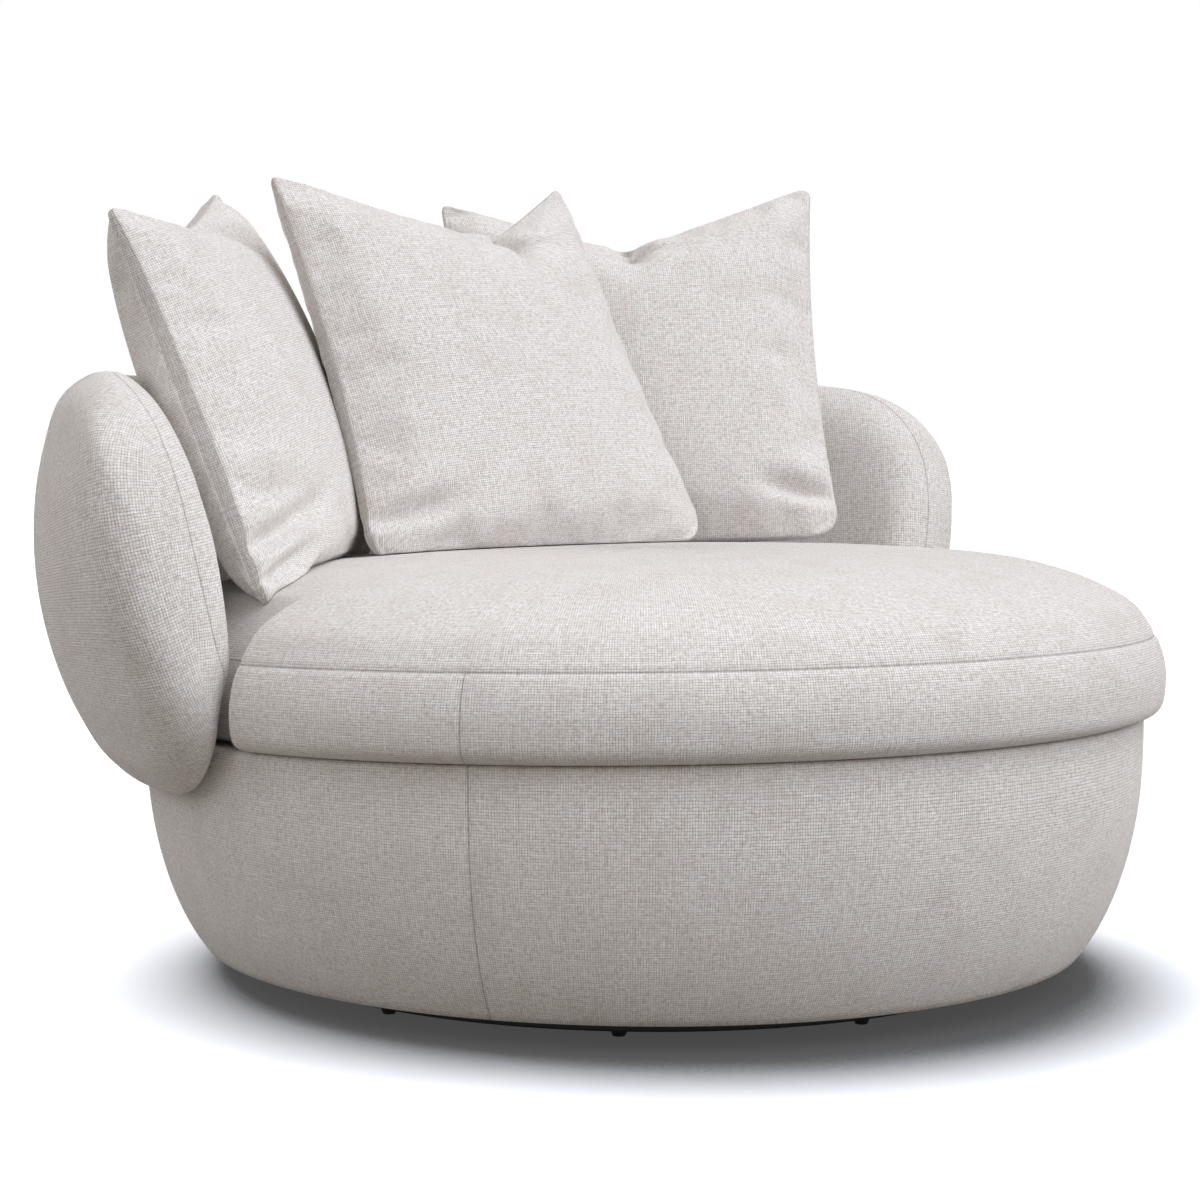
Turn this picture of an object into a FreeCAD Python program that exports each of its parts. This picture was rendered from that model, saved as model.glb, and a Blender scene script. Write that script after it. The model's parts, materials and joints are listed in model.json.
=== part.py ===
"""Round swivel cuddle chair: a bowl-shaped base that turns on a ball race above a low plinth, a thick
wrap-round back that ends in two rounded arms, a domed boxed seat cushion and three loose pillows.

Millimetres. +Z is up and -Y is the front of the chair. The pieces are built about the swivel axis, with
the floor at z = 0, and are moved last so that the origin lies under the middle of the outline.
Angles about the axis are measured from the front towards +X.
"""
import FreeCAD, Part
import math
import os

V = FreeCAD.Vector
Z_AXIS = V(0, 0, 1)
ORIGIN = V(0, 0, 0)

# ---- driving dimensions -------------------------------------------------------------------------
# bowl-shaped base
BASE_RADIUS = 610.0            # widest radius of the base, also the radius at its rim
RIM_HEIGHT = 304.0             # rim, where base and seat cushion meet, above the floor at the sides
SEAT_PITCH = 1.5               # degrees that the rim and the cushion rise towards the front
UPRIGHT_BAND = 24.0            # the side is upright from the rim down to this far below it
BOWL_REACH = 150.0             # how far the bowl's elliptical curve sweeps inwards
BOWL_BELOW_FLOOR = 14.0        # the curve would end this far under the floor
HEM_DROP = 6.5                 # the upholstery's lowest line, below the bottom board
HEM_TURN = 24.0                # width of the strip that slopes back up to the board
HEM_FLANGE = 20.0              # flat strip stapled to the bottom board

# plinth and glides
PLINTH_SETBACK = 77.0          # the plinth's edge, in from the upholstery's lowest line
CENTRE_HOLE = 55.0             # radius of the hole through plinth and bottom board
PLINTH_EDGE_ROUND = 2.0
BOARD_THICKNESS = 18.0
GLIDE_COUNT = 10
GLIDE_HEIGHT = 6.5
GLIDE_TOP_RADIUS = 10.0
GLIDE_FOOT_RADIUS = 7.0
GLIDE_EDGE = 12.0              # glide centre in from the plinth's edge
GLIDE_FIRST_ANGLE = 21.0

# swivel race
SWIVEL_HEIGHT = 12.0           # from plinth to bottom board
BALL_COUNT = 24
BALL_RADIUS = 4.0
BALL_CLEARANCE = 0.15
BALL_CIRCLE = 190.0            # radius of the ball track
RACE_INNER_RADIUS = 150.0
TRACK_EDGE = 1.4               # the groove's edges, above and below the balls' middles
FLANGE_START = 8.0             # inner end of the groove's wall, in from the ball circle
LIP_REACH = 9.5                # the lower plate's lip, out from the ball circle
SKIRT_REACH = 12.8             # inside of the upper plate's folded skirt
HOOK_OVERLAP = 2.0             # the skirt's hook reaches this far in under the lip
HOOK_CLEARANCE = 0.5
HOOK_THICKNESS = 1.45
CAGE_THICKNESS = 1.4
CAGE_HALF_WIDTH = 6.4
CAGE_POCKET_CLEARANCE = 0.25
RACE_SCREW_COUNT = 8
RACE_SCREW_CIRCLE = 163.0
SCREW_SHANK_RADIUS = 2.5
SCREW_HEAD_RADIUS = 4.6
SCREW_CROWN_RADIUS = 3.2
SCREW_HEAD_HEIGHT = 2.2
SCREW_LENGTH = 14.0

# layers of the base, outside in
COVER_THICKNESS = 2.0
BASE_FOAM = 12.0
SKIN_THICKNESS = 4.0
PIECE_GAP = 0.3                # room left round a piece that slips in
FRAME_GAP = 0.6                # room between the bent skin and the timber inside it
RIB_COUNT = 12
RIB_THICKNESS = 18.0
RIB_INNER_RADIUS = 330.0
RIB_HOLE_RADIUS = 45.0
HOOP_THICKNESS = 18.0
HOOP_HEIGHT = 40.0
DECK_RING_WIDTH = 96.0
DECK_PAD_THICKNESS = 6.0
STRAP_WIDTH = 50.0
STRAP_PITCH = 110.0
STRAP_THICKNESS = 1.2
STRAP_COUNT = 9
STRAP_EDGE = 6.0               # straps end this far inside the deck ring's edge
DUST_COVER_THICKNESS = 0.8
DUST_COVER_INNER = 220.0

# wrap-round back and arms; outlines are (out, up) from the rim's edge
TIP_ANGLE = 94.2               # the foremost point of each arm
NOSE_TOP_LENGTH = 305.0        # length over which the top of an arm rises to full height
NOSE_BOTTOM_LENGTH = 150.0     # the same for the underside
NOSE_SIDE_LENGTH = 56.0        # the same for the thickness
NOSE_TOP_FULLNESS = 3.0        # how squarely the top rises; 2 makes a quarter ellipse
NOSE_FULLNESS = 2.4            # the same for the underside and the thickness
NOSE_FLARE = 90.0              # the top of an arm leans out this far at its foremost point
NOSE_FLARE_LENGTH = 114.0      # length over which it comes upright again
NOSE_UP = 93.0                 # the foremost point, above the rim
MIDLINE_OUT = 59.0             # middle of the back's thickness at its widest, out from the rim
MIDLINE_UP = 247.0             # height of that place above the rim
MIDLINE_CURVE = 0.00035        # how fast the middle falls back from there, per millimetre
BACK_OUTLINE = [(12, -67), (48, -42), (79, 10), (113, 94), (131, 213), (119, 326), (93, 393),
                (47, 417), (8, 391), (-13, 306), (-16, 208), (-9, 90), (3, -2), (5.5, -42)]
FRAME_OUTLINE = [(20, -42), (50, -2), (73, 96), (84, 208), (76, 304), (62, 358), (43, 379),
                 (27, 360), (18, 302), (17, 208), (17, 96), (12, -2)]
SEAM_LINE = [(23, -104), (35, -42), (87, 93), (98, 213), (86, 326), (62, 394), (47, 456)]
REAR_SECTION_COUNT = 5         # lofted sections from the full height of an arm to the middle of the rear
FOAM_NOSE = 62.0               # solid foam at the front of each arm before the frame starts

# frame of the back
FIRST_RIB_ANGLE = 102.0        # the foremost rib of each arm; the others are spaced evenly
RIB_SPACES = 5                 # spaces between ribs, from that one to the rear
BACK_RIB_THICKNESS = 18.0
RAIL_OUT = 11.0                # inner face of the lower rail, out from the base
RAIL_DOWN = 46.0               # underside of the lower rail, below the rim
RAIL_THICKNESS = 14.0
RAIL_HEIGHT = 40.0
TOP_RAIL_HEIGHT = 24.0
TOP_RAIL_WIDTH = 22.0
TOP_RAIL_COVER = 16.0          # the ribs rise this far above the top rail
TOP_RAIL_END = 125.0
BACK_PANEL_OUT = 19.5
BACK_PANEL_THICKNESS = 3.0
BACK_PANEL_UP = 26.0
BACK_PANEL_HEIGHT = 262.0
BACK_PANEL_END = 104.0

# bolts that hold the back to the base, halfway between the ribs
BOLT_RADIUS = 3.0
BOLT_HEAD_RADIUS = 5.0
BOLT_HEAD_HEIGHT = 3.0
SLEEVE_RADIUS = 7.0
DOWEL_RADIUS = 6.0
DOWEL_DEPTH = 36.0             # cross dowel in from the deck ring's edge
BOLT_TAIL = 10.0               # the bolt's end, beyond the middle of its dowel

# seat cushion: (out, up) from the rim's edge, then the height of its middle
CUSHION_BAND = [(-4, 0), (18, 9), (25, 38), (21, 74), (12, 97)]
CUSHION_CROWN = [(12, 97), (-12, 131), (-57, 158), (-130, 183), (-270, 200)]
CUSHION_MIDDLE = 206.0
CUSHION_LEVEL_RADIUS = 60.0    # the crown is level this far round its middle
CUSHION_FRONT_ANGLE = 93.0     # the full-width front runs this far round each side
CUSHION_SIDE = [(-43, -30), (-43, 0), (-21, 9), (-14.5, 38), (-19, 74), (-34, 110), (-62, 150),
                (-100, 190)]   # its narrower side between the arms, up through the crown
CUSHION_COVER = 3.0
FIBRE_THICKNESS = 22.0

# loose pillows; the tips are (x, y, z) about the swivel axis, on the floor's level
PILLOW_DEPTH = 158.0
PILLOW_SIDE_PULL = 0.06        # share of the half width that a side curves in between its tips
PILLOW_TOP_PULL = 0.03         # the same for the top edge, before it is chopped
CHOP_ROUNDNESS = 0.12          # how round the bottom of the chopped top edge is
PILLOW_KNOT_COUNT = 6          # knots of the cloth's surface from the middle to each side
PILLOW_COVER = 3.0
# top left, top right, bottom right and bottom left tips as seen from the front, then how deep the top
# edge is chopped and how far along it, from -1 at the left tip to 1 at the right one
PILLOWS = {
    "left_pillow": dict(tips=[(-599, 287, 906), (-190, 601, 963), (-85, 410, 474), (-545, 72, 433)],
                        chop=40.0, chop_at=0.05),
    "centre_pillow": dict(tips=[(-296, 365, 967), (227, 373, 984), (275, 137, 491), (-271, 200, 487)],
                          chop=80.0, chop_at=0.37),
    "right_pillow": dict(tips=[(206, 584, 976), (597, 223, 998), (449, 41, 479), (102, 452, 467)],
                         chop=88.0, chop_at=-0.03),
}

# ---- heights and radii that follow --------------------------------------------------------------
PLINTH_TOP = GLIDE_HEIGHT + BOARD_THICKNESS
SWIVEL_MIDDLE = PLINTH_TOP + SWIVEL_HEIGHT / 2
BOARD_Z = PLINTH_TOP + SWIVEL_HEIGHT
HEM_HEIGHT = BOARD_Z - HEM_DROP
RACE_PLATE = SWIVEL_HEIGHT / 2 - BALL_RADIUS - BALL_CLEARANCE
WIDEST_HEIGHT = RIM_HEIGHT - UPRIGHT_BAND
BOWL_DEPTH = WIDEST_HEIGHT + BOWL_BELOW_FLOOR
SKIN_INSET = COVER_THICKNESS + BASE_FOAM
FRAME_INSET = SKIN_INSET + SKIN_THICKNESS
DECK_RADIUS = BASE_RADIUS - FRAME_INSET - FRAME_GAP
PAD_BOTTOM = -(COVER_THICKNESS + DECK_PAD_THICKNESS)
DECK_TOP = PAD_BOTTOM - 2 * STRAP_THICKNESS
DECK_BOTTOM = DECK_TOP - BOARD_THICKNESS
MIDLINE_RADIUS = BASE_RADIUS + MIDLINE_OUT
NOSE_HEIGHT = RIM_HEIGHT + NOSE_UP
FULL_RISE = max(up for _, up in BACK_OUTLINE) - NOSE_UP
RAIL_INNER = BASE_RADIUS + RAIL_OUT
RAIL_OUTER = RAIL_INNER + RAIL_THICKNESS
RAIL_BOTTOM = RIM_HEIGHT - RAIL_DOWN
RAIL_MARGIN = 0.8              # degrees that the lower rail runs past the foremost rib
RIB_ANGLES = [FIRST_RIB_ANGLE + (180 - FIRST_RIB_ANGLE) * n / RIB_SPACES for n in range(RIB_SPACES + 1)]
BOLT_ANGLES = [(a + b) / 2 for a, b in zip(RIB_ANGLES, RIB_ANGLES[1:])]
CUSHION_WIDEST = BASE_RADIUS + max(out for out, _ in CUSHION_BAND)
BACK_WIDEST = BASE_RADIUS + max(out for out, _ in BACK_OUTLINE)
AXIS_SHIFT = (BACK_WIDEST - CUSHION_WIDEST) / 2
TALL = RIM_HEIGHT + BASE_RADIUS  # longer than any cut needs


# ---- helpers ------------------------------------------------------------------------------------
def about_z(shape, degrees):
    """A copy of a shape, turned about the swivel axis."""
    turned = shape.copy()
    turned.rotate(ORIGIN, Z_AXIS, degrees)
    return turned


def cylinder(radius, bottom, top):
    """An upright cylinder on the swivel axis."""
    return Part.makeCylinder(radius, top - bottom, V(0, 0, bottom))


def ring(outer, inner, bottom, top):
    """A flat ring about the swivel axis."""
    return cylinder(outer, bottom, top).cut(cylinder(inner, bottom, top))


def revolve(edges, degrees=360.0):
    """Turn a closed profile in the XZ plane about the swivel axis."""
    return Part.Face(Part.Wire(edges)).revolve(ORIGIN, Z_AXIS, degrees)


def lines(points):
    """Straight edges through (radius, height) points, open at the end."""
    corners = [V(radius, 0, height) for radius, height in points]
    return [Part.makeLine(a, b) for a, b in zip(corners, corners[1:])]


def curve(points):
    """One smooth edge through (radius, height) points."""
    spline = Part.BSplineCurve()
    spline.interpolate([V(radius, 0, height) for radius, height in points])
    return spline.toShape()


def from_rim(points, height=RIM_HEIGHT):
    """(radius, height) of points given outwards and upwards from the rim's edge."""
    return [(BASE_RADIUS + out, height + up) for out, up in points]


def pitched(shape):
    """Lift a shape made above z = 0 onto the sloping plane of the rim."""
    placed = shape.copy()
    placed.rotate(ORIGIN, V(1, 0, 0), -SEAT_PITCH)
    placed.translate(V(0, 0, RIM_HEIGHT))
    return placed


def below_rim(depth):
    """Everything lower than a plane parallel to the rim, this far under it."""
    return pitched(Part.makeBox(2 * TALL, 2 * TALL, TALL, V(-TALL, -TALL, -TALL - depth)))


def angle_point(radius, degrees, height):
    """A point at an angle measured from the front towards +X."""
    turn = math.radians(degrees)
    return V(radius * math.sin(turn), -radius * math.cos(turn), height)


def around(count, first=0.0):
    """Evenly spaced angles for a ring of pieces."""
    return [first + index * 360 / count for index in range(count)]


def both_sides(angles):
    """The same angles on the right and the left, the rear one once."""
    return sorted({side * angle % 360 for angle in angles for side in (1, -1)})


# ---- plinth and swivel --------------------------------------------------------------------------
def plinth_radius():
    return bowl_radius(HEM_HEIGHT, 0) - PLINTH_SETBACK


def make_glides():
    """Tapered glides under the plinth's edge."""
    glides = []
    for angle in around(GLIDE_COUNT, GLIDE_FIRST_ANGLE):
        glide = Part.makeCone(GLIDE_FOOT_RADIUS, GLIDE_TOP_RADIUS, GLIDE_HEIGHT)
        glide.translate(angle_point(plinth_radius() - GLIDE_EDGE, angle, 0))
        glides.append(glide)
    return Part.makeCompound(glides)


def make_plinth():
    """A flat ring with its two outer edges rounded."""
    board = ring(plinth_radius(), CENTRE_HOLE, GLIDE_HEIGHT, PLINTH_TOP)
    outer_edges = [edge for edge in board.Edges
                   if len(edge.Vertexes) == 1 and edge.Curve.Radius > CENTRE_HOLE + 1]
    return board.makeFillet(PLINTH_EDGE_ROUND, outer_edges)


def race_plate(side):
    """A pressed race plate; side is -1 for the lower one and +1 for the upper one, whose folded skirt
    hooks in under the lower one's lip so that the chair can't be lifted off its plinth."""
    track = BALL_RADIUS + BALL_CLEARANCE
    back = SWIVEL_HEIGHT / 2
    root = TRACK_EDGE + RACE_PLATE
    track_reach = math.sqrt(track ** 2 - TRACK_EDGE ** 2)
    back_reach = math.sqrt(back ** 2 - root ** 2)
    wall = FLANGE_START - CAGE_HALF_WIDTH

    def point(out, height):
        return V(BALL_CIRCLE + out, 0, SWIVEL_MIDDLE + side * height)

    def path(*points):
        return [Part.makeLine(a, b) for a, b in zip(points, points[1:])]

    groove = Part.Arc(point(-track_reach, TRACK_EDGE), point(0, track),
                      point(track_reach, TRACK_EDGE)).toShape()
    hidden_side = Part.Arc(point(back_reach, root), point(0, back), point(-back_reach, root)).toShape()
    flange_end = RACE_INNER_RADIUS - BALL_CIRCLE
    flange = path(point(-back_reach, root), point(-FLANGE_START, back), point(flange_end, back),
                  point(flange_end, back - RACE_PLATE), point(-FLANGE_START - wall, back - RACE_PLATE),
                  point(-CAGE_HALF_WIDTH, TRACK_EDGE), point(-track_reach, TRACK_EDGE))
    if side < 0:
        rim = path(point(track_reach, TRACK_EDGE), point(LIP_REACH, TRACK_EDGE),
                   point(LIP_REACH, root), point(back_reach, root))
    else:
        skirt_out = SKIRT_REACH + RACE_PLATE
        hook_in = LIP_REACH - HOOK_OVERLAP
        hook_top = -(root + HOOK_CLEARANCE)
        hook_bottom = hook_top - HOOK_THICKNESS
        rim = path(point(track_reach, TRACK_EDGE), point(SKIRT_REACH, TRACK_EDGE),
                   point(SKIRT_REACH, hook_top), point(hook_in, hook_top),
                   point(hook_in, hook_bottom), point(skirt_out, hook_bottom),
                   point(skirt_out, root), point(back_reach, root))
    return revolve([groove] + rim + [hidden_side] + flange)


def make_screw(angle, side):
    """A pan-head screw through a race flange into its board, the head on the side of the balls."""
    seat = SWIVEL_MIDDLE + side * (SWIVEL_HEIGHT / 2 - RACE_PLATE)
    into_board = V(0, 0, side)
    start = angle_point(RACE_SCREW_CIRCLE, angle, seat)
    shank = Part.makeCylinder(SCREW_SHANK_RADIUS, SCREW_LENGTH, start, into_board)
    head = Part.makeCone(SCREW_HEAD_RADIUS, SCREW_CROWN_RADIUS, SCREW_HEAD_HEIGHT, start,
                         into_board * -1)
    return shank.fuse(head).removeSplitter()


def make_screws(side):
    """One race's ring of screws; the upper ones sit halfway between the lower ones."""
    first = 0 if side < 0 else 180 / RACE_SCREW_COUNT
    return Part.makeCompound([make_screw(angle, side) for angle in around(RACE_SCREW_COUNT, first)])


def make_balls():
    return Part.makeCompound([Part.makeSphere(BALL_RADIUS, angle_point(BALL_CIRCLE, angle, SWIVEL_MIDDLE))
                              for angle in around(BALL_COUNT)])


def make_cage():
    """A flat ring with a pocket for each ball."""
    bottom, top = SWIVEL_MIDDLE - CAGE_THICKNESS / 2, SWIVEL_MIDDLE + CAGE_THICKNESS / 2
    blank = ring(BALL_CIRCLE + CAGE_HALF_WIDTH, BALL_CIRCLE - CAGE_HALF_WIDTH, bottom, top)
    pocket_radius = BALL_RADIUS + CAGE_POCKET_CLEARANCE
    pockets = [Part.makeCylinder(pocket_radius, CAGE_THICKNESS, angle_point(BALL_CIRCLE, angle, bottom))
               for angle in around(BALL_COUNT)]
    return blank.cut(Part.makeCompound(pockets))


def make_swivel(parts):
    lower_screws, upper_screws = make_screws(-1), make_screws(1)
    parts["glides"] = make_glides()
    parts["plinth_board"] = make_plinth().cut(lower_screws)
    parts["swivel_lower_screws"] = lower_screws
    parts["swivel_lower_race"] = race_plate(-1).cut(lower_screws)
    parts["swivel_upper_race"] = race_plate(1).cut(upper_screws)
    parts["swivel_upper_screws"] = upper_screws
    parts["ball_cage"] = make_cage()
    parts["swivel_balls"] = make_balls()


# ---- base ---------------------------------------------------------------------------------------
def bowl_radius(height, inset):
    """Radius of the bowl's side at a height, measured inside a number of layers."""
    drop = max(0.0, WIDEST_HEIGHT - height) / (BOWL_DEPTH - inset)
    return BASE_RADIUS - BOWL_REACH + (BOWL_REACH - inset) * math.sqrt(1 - drop ** 2)


def bowl(inset, under_rim, foot_height, floor):
    """The bowl as one closed block, its side inside `inset` of layers. Its top is `under_rim` below the
    rim, its side ends at `foot_height`, and a hem slopes from there to its flat underside at `floor`."""
    half_outwards, half_upwards = BOWL_REACH - inset, BOWL_DEPTH - inset
    centre = V(BASE_RADIUS - BOWL_REACH, 0, WIDEST_HEIGHT)
    side = Part.Ellipse(centre + V(0, 0, half_upwards), centre + V(half_outwards, 0, 0), centre)
    foot = V(bowl_radius(foot_height, inset), 0, foot_height)
    shoulder = V(BASE_RADIUS - inset, 0, WIDEST_HEIGHT)
    ends = sorted([side.parameter(foot), side.parameter(shoulder)])
    above = RIM_HEIGHT + BOWL_REACH
    path = lines([(shoulder.x, shoulder.z), (shoulder.x, above), (0, above), (0, floor)])
    if foot_height < floor:
        path += lines([(0, floor), (foot.x - HEM_TURN, floor), (foot.x, foot_height)])
    else:
        path += lines([(0, floor), (foot.x, floor)])
    return revolve([Part.Edge(side, ends[0], ends[1])] + path).common(below_rim(under_rim))


def bolt_bar(angle, radius, start, end):
    """One radial cylinder on a bolt line, which passes through the middle of the deck ring's edge."""
    slope = math.tan(math.radians(SEAT_PITCH)) * math.cos(math.radians(angle))
    height = RIM_HEIGHT + BASE_RADIUS * slope + (DECK_TOP + DECK_BOTTOM) / 2
    return Part.makeCylinder(radius, end - start, angle_point(start, angle, height),
                             angle_point(1, angle, 0))


def bolt_bars(radius, start, end):
    """Cylinders on all the bolt lines, from one radius to another."""
    return Part.makeCompound([bolt_bar(angle, radius, start, end) for angle in both_sides(BOLT_ANGLES)])


def make_base_rib(angle):
    """A curved upright rib with a round lightening hole, from bottom board to deck ring."""
    low = BOARD_Z + BOARD_THICKNESS
    blank = bowl(FRAME_INSET + FRAME_GAP, -DECK_BOTTOM, low, low)
    slab = Part.makeBox(BASE_RADIUS - RIB_INNER_RADIUS, RIB_THICKNESS, TALL,
                        V(RIB_INNER_RADIUS, -RIB_THICKNESS / 2, 0))
    middle = V((RIB_INNER_RADIUS + bowl_radius(low, FRAME_INSET)) / 2, -RIB_THICKNESS,
               (low + RIM_HEIGHT + DECK_BOTTOM) / 2)
    hole = Part.makeCylinder(RIB_HOLE_RADIUS, 2 * RIB_THICKNESS, middle, V(0, 1, 0))
    return about_z(slab.cut(hole), angle).common(blank)


def make_hoop():
    """A bent hoop under the deck ring that holds the ribs to a true circle."""
    low = BOARD_Z + BOARD_THICKNESS
    blank = bowl(FRAME_INSET + FRAME_GAP, -DECK_BOTTOM, low, low)
    blank = blank.cut(cylinder(DECK_RADIUS - HOOP_THICKNESS, 0, TALL))
    return blank.cut(below_rim(HOOP_HEIGHT - DECK_BOTTOM))


def make_straps():
    """Two crossing layers of elastic webbing on the deck ring."""
    trim = cylinder(DECK_RADIUS - STRAP_EDGE, -TALL, TALL)
    straps = []
    for index in range(STRAP_COUNT):
        offset = (index - (STRAP_COUNT - 1) / 2) * STRAP_PITCH - STRAP_WIDTH / 2
        across = Part.makeBox(2 * DECK_RADIUS, STRAP_WIDTH, STRAP_THICKNESS,
                              V(-DECK_RADIUS, offset, DECK_TOP))
        along = Part.makeBox(STRAP_WIDTH, 2 * DECK_RADIUS, STRAP_THICKNESS,
                             V(offset, -DECK_RADIUS, DECK_TOP + STRAP_THICKNESS))
        straps += [across.common(trim), along.common(trim)]
    return pitched(Part.makeCompound(straps))


def make_base_soft_layers(parts):
    """Cover, foam and bent skin of the bowl, each let through by the bolts' sleeves or shanks."""
    outside = bowl(0, 0, HEM_HEIGHT, BOARD_Z - COVER_THICKNESS)
    inside_cover = bowl(COVER_THICKNESS, COVER_THICKNESS, HEM_HEIGHT + COVER_THICKNESS, BOARD_Z)
    inside_foam = bowl(SKIN_INSET, 0, BOARD_Z, BOARD_Z)
    inside_skin = bowl(FRAME_INSET, 0, BOARD_Z, BOARD_Z)
    sleeve_hole = bolt_bars(SLEEVE_RADIUS + PIECE_GAP, DECK_RADIUS, RAIL_INNER)
    shank_hole = bolt_bars(BOLT_RADIUS + PIECE_GAP, DECK_RADIUS - DECK_RING_WIDTH, RAIL_INNER)
    hem_hole = cylinder(hem_inner_radius(), 0, BOARD_Z)
    parts["base_cover"] = outside.cut(inside_cover).cut(hem_hole).cut(sleeve_hole)
    parts["base_foam"] = inside_cover.cut(inside_foam).cut(sleeve_hole)
    skin = bowl(SKIN_INSET, -PAD_BOTTOM, BOARD_Z, BOARD_Z).cut(inside_skin)
    parts["base_skin_panel"] = skin.cut(shank_hole)


def hem_inner_radius():
    return bowl_radius(HEM_HEIGHT, 0) - HEM_TURN - HEM_FLANGE


def make_base(parts):
    make_base_soft_layers(parts)
    pad_radius = BASE_RADIUS - SKIN_INSET - PIECE_GAP
    parts["deck_pad"] = pitched(cylinder(pad_radius, PAD_BOTTOM, -COVER_THICKNESS))
    parts["webbing_straps"] = make_straps()
    shank_hole = bolt_bars(BOLT_RADIUS + PIECE_GAP, DECK_RADIUS - DOWEL_DEPTH - DOWEL_RADIUS - BOLT_TAIL,
                           RAIL_INNER)
    dowels = Part.makeCompound([
        Part.makeCylinder(DOWEL_RADIUS, 2 * TALL, angle_point(DECK_RADIUS - DOWEL_DEPTH, angle, -TALL))
        for angle in both_sides(BOLT_ANGLES)])
    deck = pitched(ring(DECK_RADIUS, DECK_RADIUS - DECK_RING_WIDTH, DECK_BOTTOM, DECK_TOP))
    parts["cross_dowels"] = deck.common(dowels).cut(shank_hole)
    parts["deck_ring"] = deck.cut(dowels).cut(shank_hole)
    parts["rim_hoop"] = make_hoop()
    parts["base_ribs"] = Part.makeCompound([make_base_rib(angle).cut(parts["rim_hoop"])
                                            for angle in around(RIB_COUNT, 180 / RIB_COUNT)])
    board = ring(bowl_radius(BOARD_Z, FRAME_INSET), CENTRE_HOLE, BOARD_Z, BOARD_Z + BOARD_THICKNESS)
    parts["bottom_board"] = board.cut(make_screws(1))
    parts["dust_cover"] = ring(hem_inner_radius(), DUST_COVER_INNER, BOARD_Z - DUST_COVER_THICKNESS,
                               BOARD_Z)


# ---- back ---------------------------------------------------------------------------------------
def nose_share(distance, length, fullness=NOSE_FULLNESS):
    """How much of its full size a rounded end has at a distance from its tip."""
    reach = min(1.0, max(0.0, distance / length))
    return (1 - (1 - reach) ** fullness) ** (1 / fullness)


def midline(height):
    """Radius of the middle of the back's thickness at a height."""
    return MIDLINE_RADIUS - MIDLINE_CURVE * (height - RIM_HEIGHT - MIDLINE_UP) ** 2


def back_wire(outline, angle, distance, inset, flare=0.0):
    """The back's section at an angle, shrunk towards the tip of an arm and inwards by `inset`; `flare`
    is how far its top leans out at the tip."""
    points = from_rim(outline)
    rise_up = max(height for _, height in points) - NOSE_HEIGHT
    rise_down = NOSE_HEIGHT - min(height for _, height in points)
    side = nose_share(distance - inset, NOSE_SIDE_LENGTH - inset)
    above = nose_share(distance - inset, NOSE_TOP_LENGTH - inset, NOSE_TOP_FULLNESS)
    above *= 1 - inset / rise_up
    below = nose_share(distance - inset, NOSE_BOTTOM_LENGTH - inset) * (1 - inset / rise_down)
    lean = flare * max(0.0, 1 - distance / NOSE_FLARE_LENGTH) ** 2 / FULL_RISE
    corners = []
    for radius, height in points:
        rise = height - NOSE_HEIGHT
        new_height = NOSE_HEIGHT + rise * (above if rise > 0 else below)
        offset = radius - midline(height)
        half_width = max(0.0, abs(offset) - inset) * side
        middle = midline(new_height) + lean * max(0.0, new_height - NOSE_HEIGHT)
        corners.append(angle_point(middle + math.copysign(half_width, offset), angle, new_height))
    spline = Part.BSplineCurve()
    spline.interpolate(Points=corners, Parameters=along_outline(outline), PeriodicFlag=True)
    return Part.Wire([spline.toShape()])


def along_outline(outline):
    """Distance of each point along a closed outline, the same for all sections lofted from it."""
    distances = [0.0]
    for start, end in zip(outline, outline[1:] + outline[:1]):
        distances.append(distances[-1] + math.dist(start, end))
    return distances


def back_solid(outline, inset, first, flare=0.0):
    """The whole back from arm to arm as one loft. Its sections crowd together near the arms' tips, and
    `first` is the first one's distance from the tip."""
    steps = [first + further for further in (0, 10, 26, 54, 94, 150, 220, 305)]
    sections = [(TIP_ANGLE + math.degrees(step / MIDLINE_RADIUS), step) for step in steps]
    last = sections[-1][0]
    sections += [(last + (180 - last) * (n + 1) / REAR_SECTION_COUNT, NOSE_TOP_LENGTH)
                 for n in range(REAR_SECTION_COUNT)]
    mirrored = [(360 - angle, distance) for angle, distance in reversed(sections[:-1])]
    return Part.makeLoft([back_wire(outline, angle, distance, inset, flare)
                          for angle, distance in sections + mirrored], True, False)


def seam_core():
    """Everything inside the seam line, for parting the inner cover panel from the outer one."""
    line = from_rim(SEAM_LINE)
    return revolve([curve(line)] + lines([line[-1], (0, line[-1][1]), (0, line[0][1]), line[0]]))


def back_rib(angle):
    """An egg-shaped upright of the back's frame."""
    nearest_side = min(angle, 360 - angle)
    from_tip = math.radians(nearest_side - TIP_ANGLE) * MIDLINE_RADIUS - BACK_RIB_THICKNESS / 2
    face = Part.Face(back_wire(FRAME_OUTLINE, angle, from_tip, PIECE_GAP))
    along = angle_point(1, angle + 90, 0)
    face.translate(along * (-BACK_RIB_THICKNESS / 2))
    return face.extrude(along * BACK_RIB_THICKNESS)


def arc_bar(inner, outer, bottom, top, end_angle):
    """A bar of rectangular section bent round the rear, from end angle to end angle."""
    profile = lines([(inner, bottom), (outer, bottom), (outer, top), (inner, top), (inner, bottom)])
    return about_z(revolve(profile, 360 - 2 * end_angle), end_angle - 90)


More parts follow.
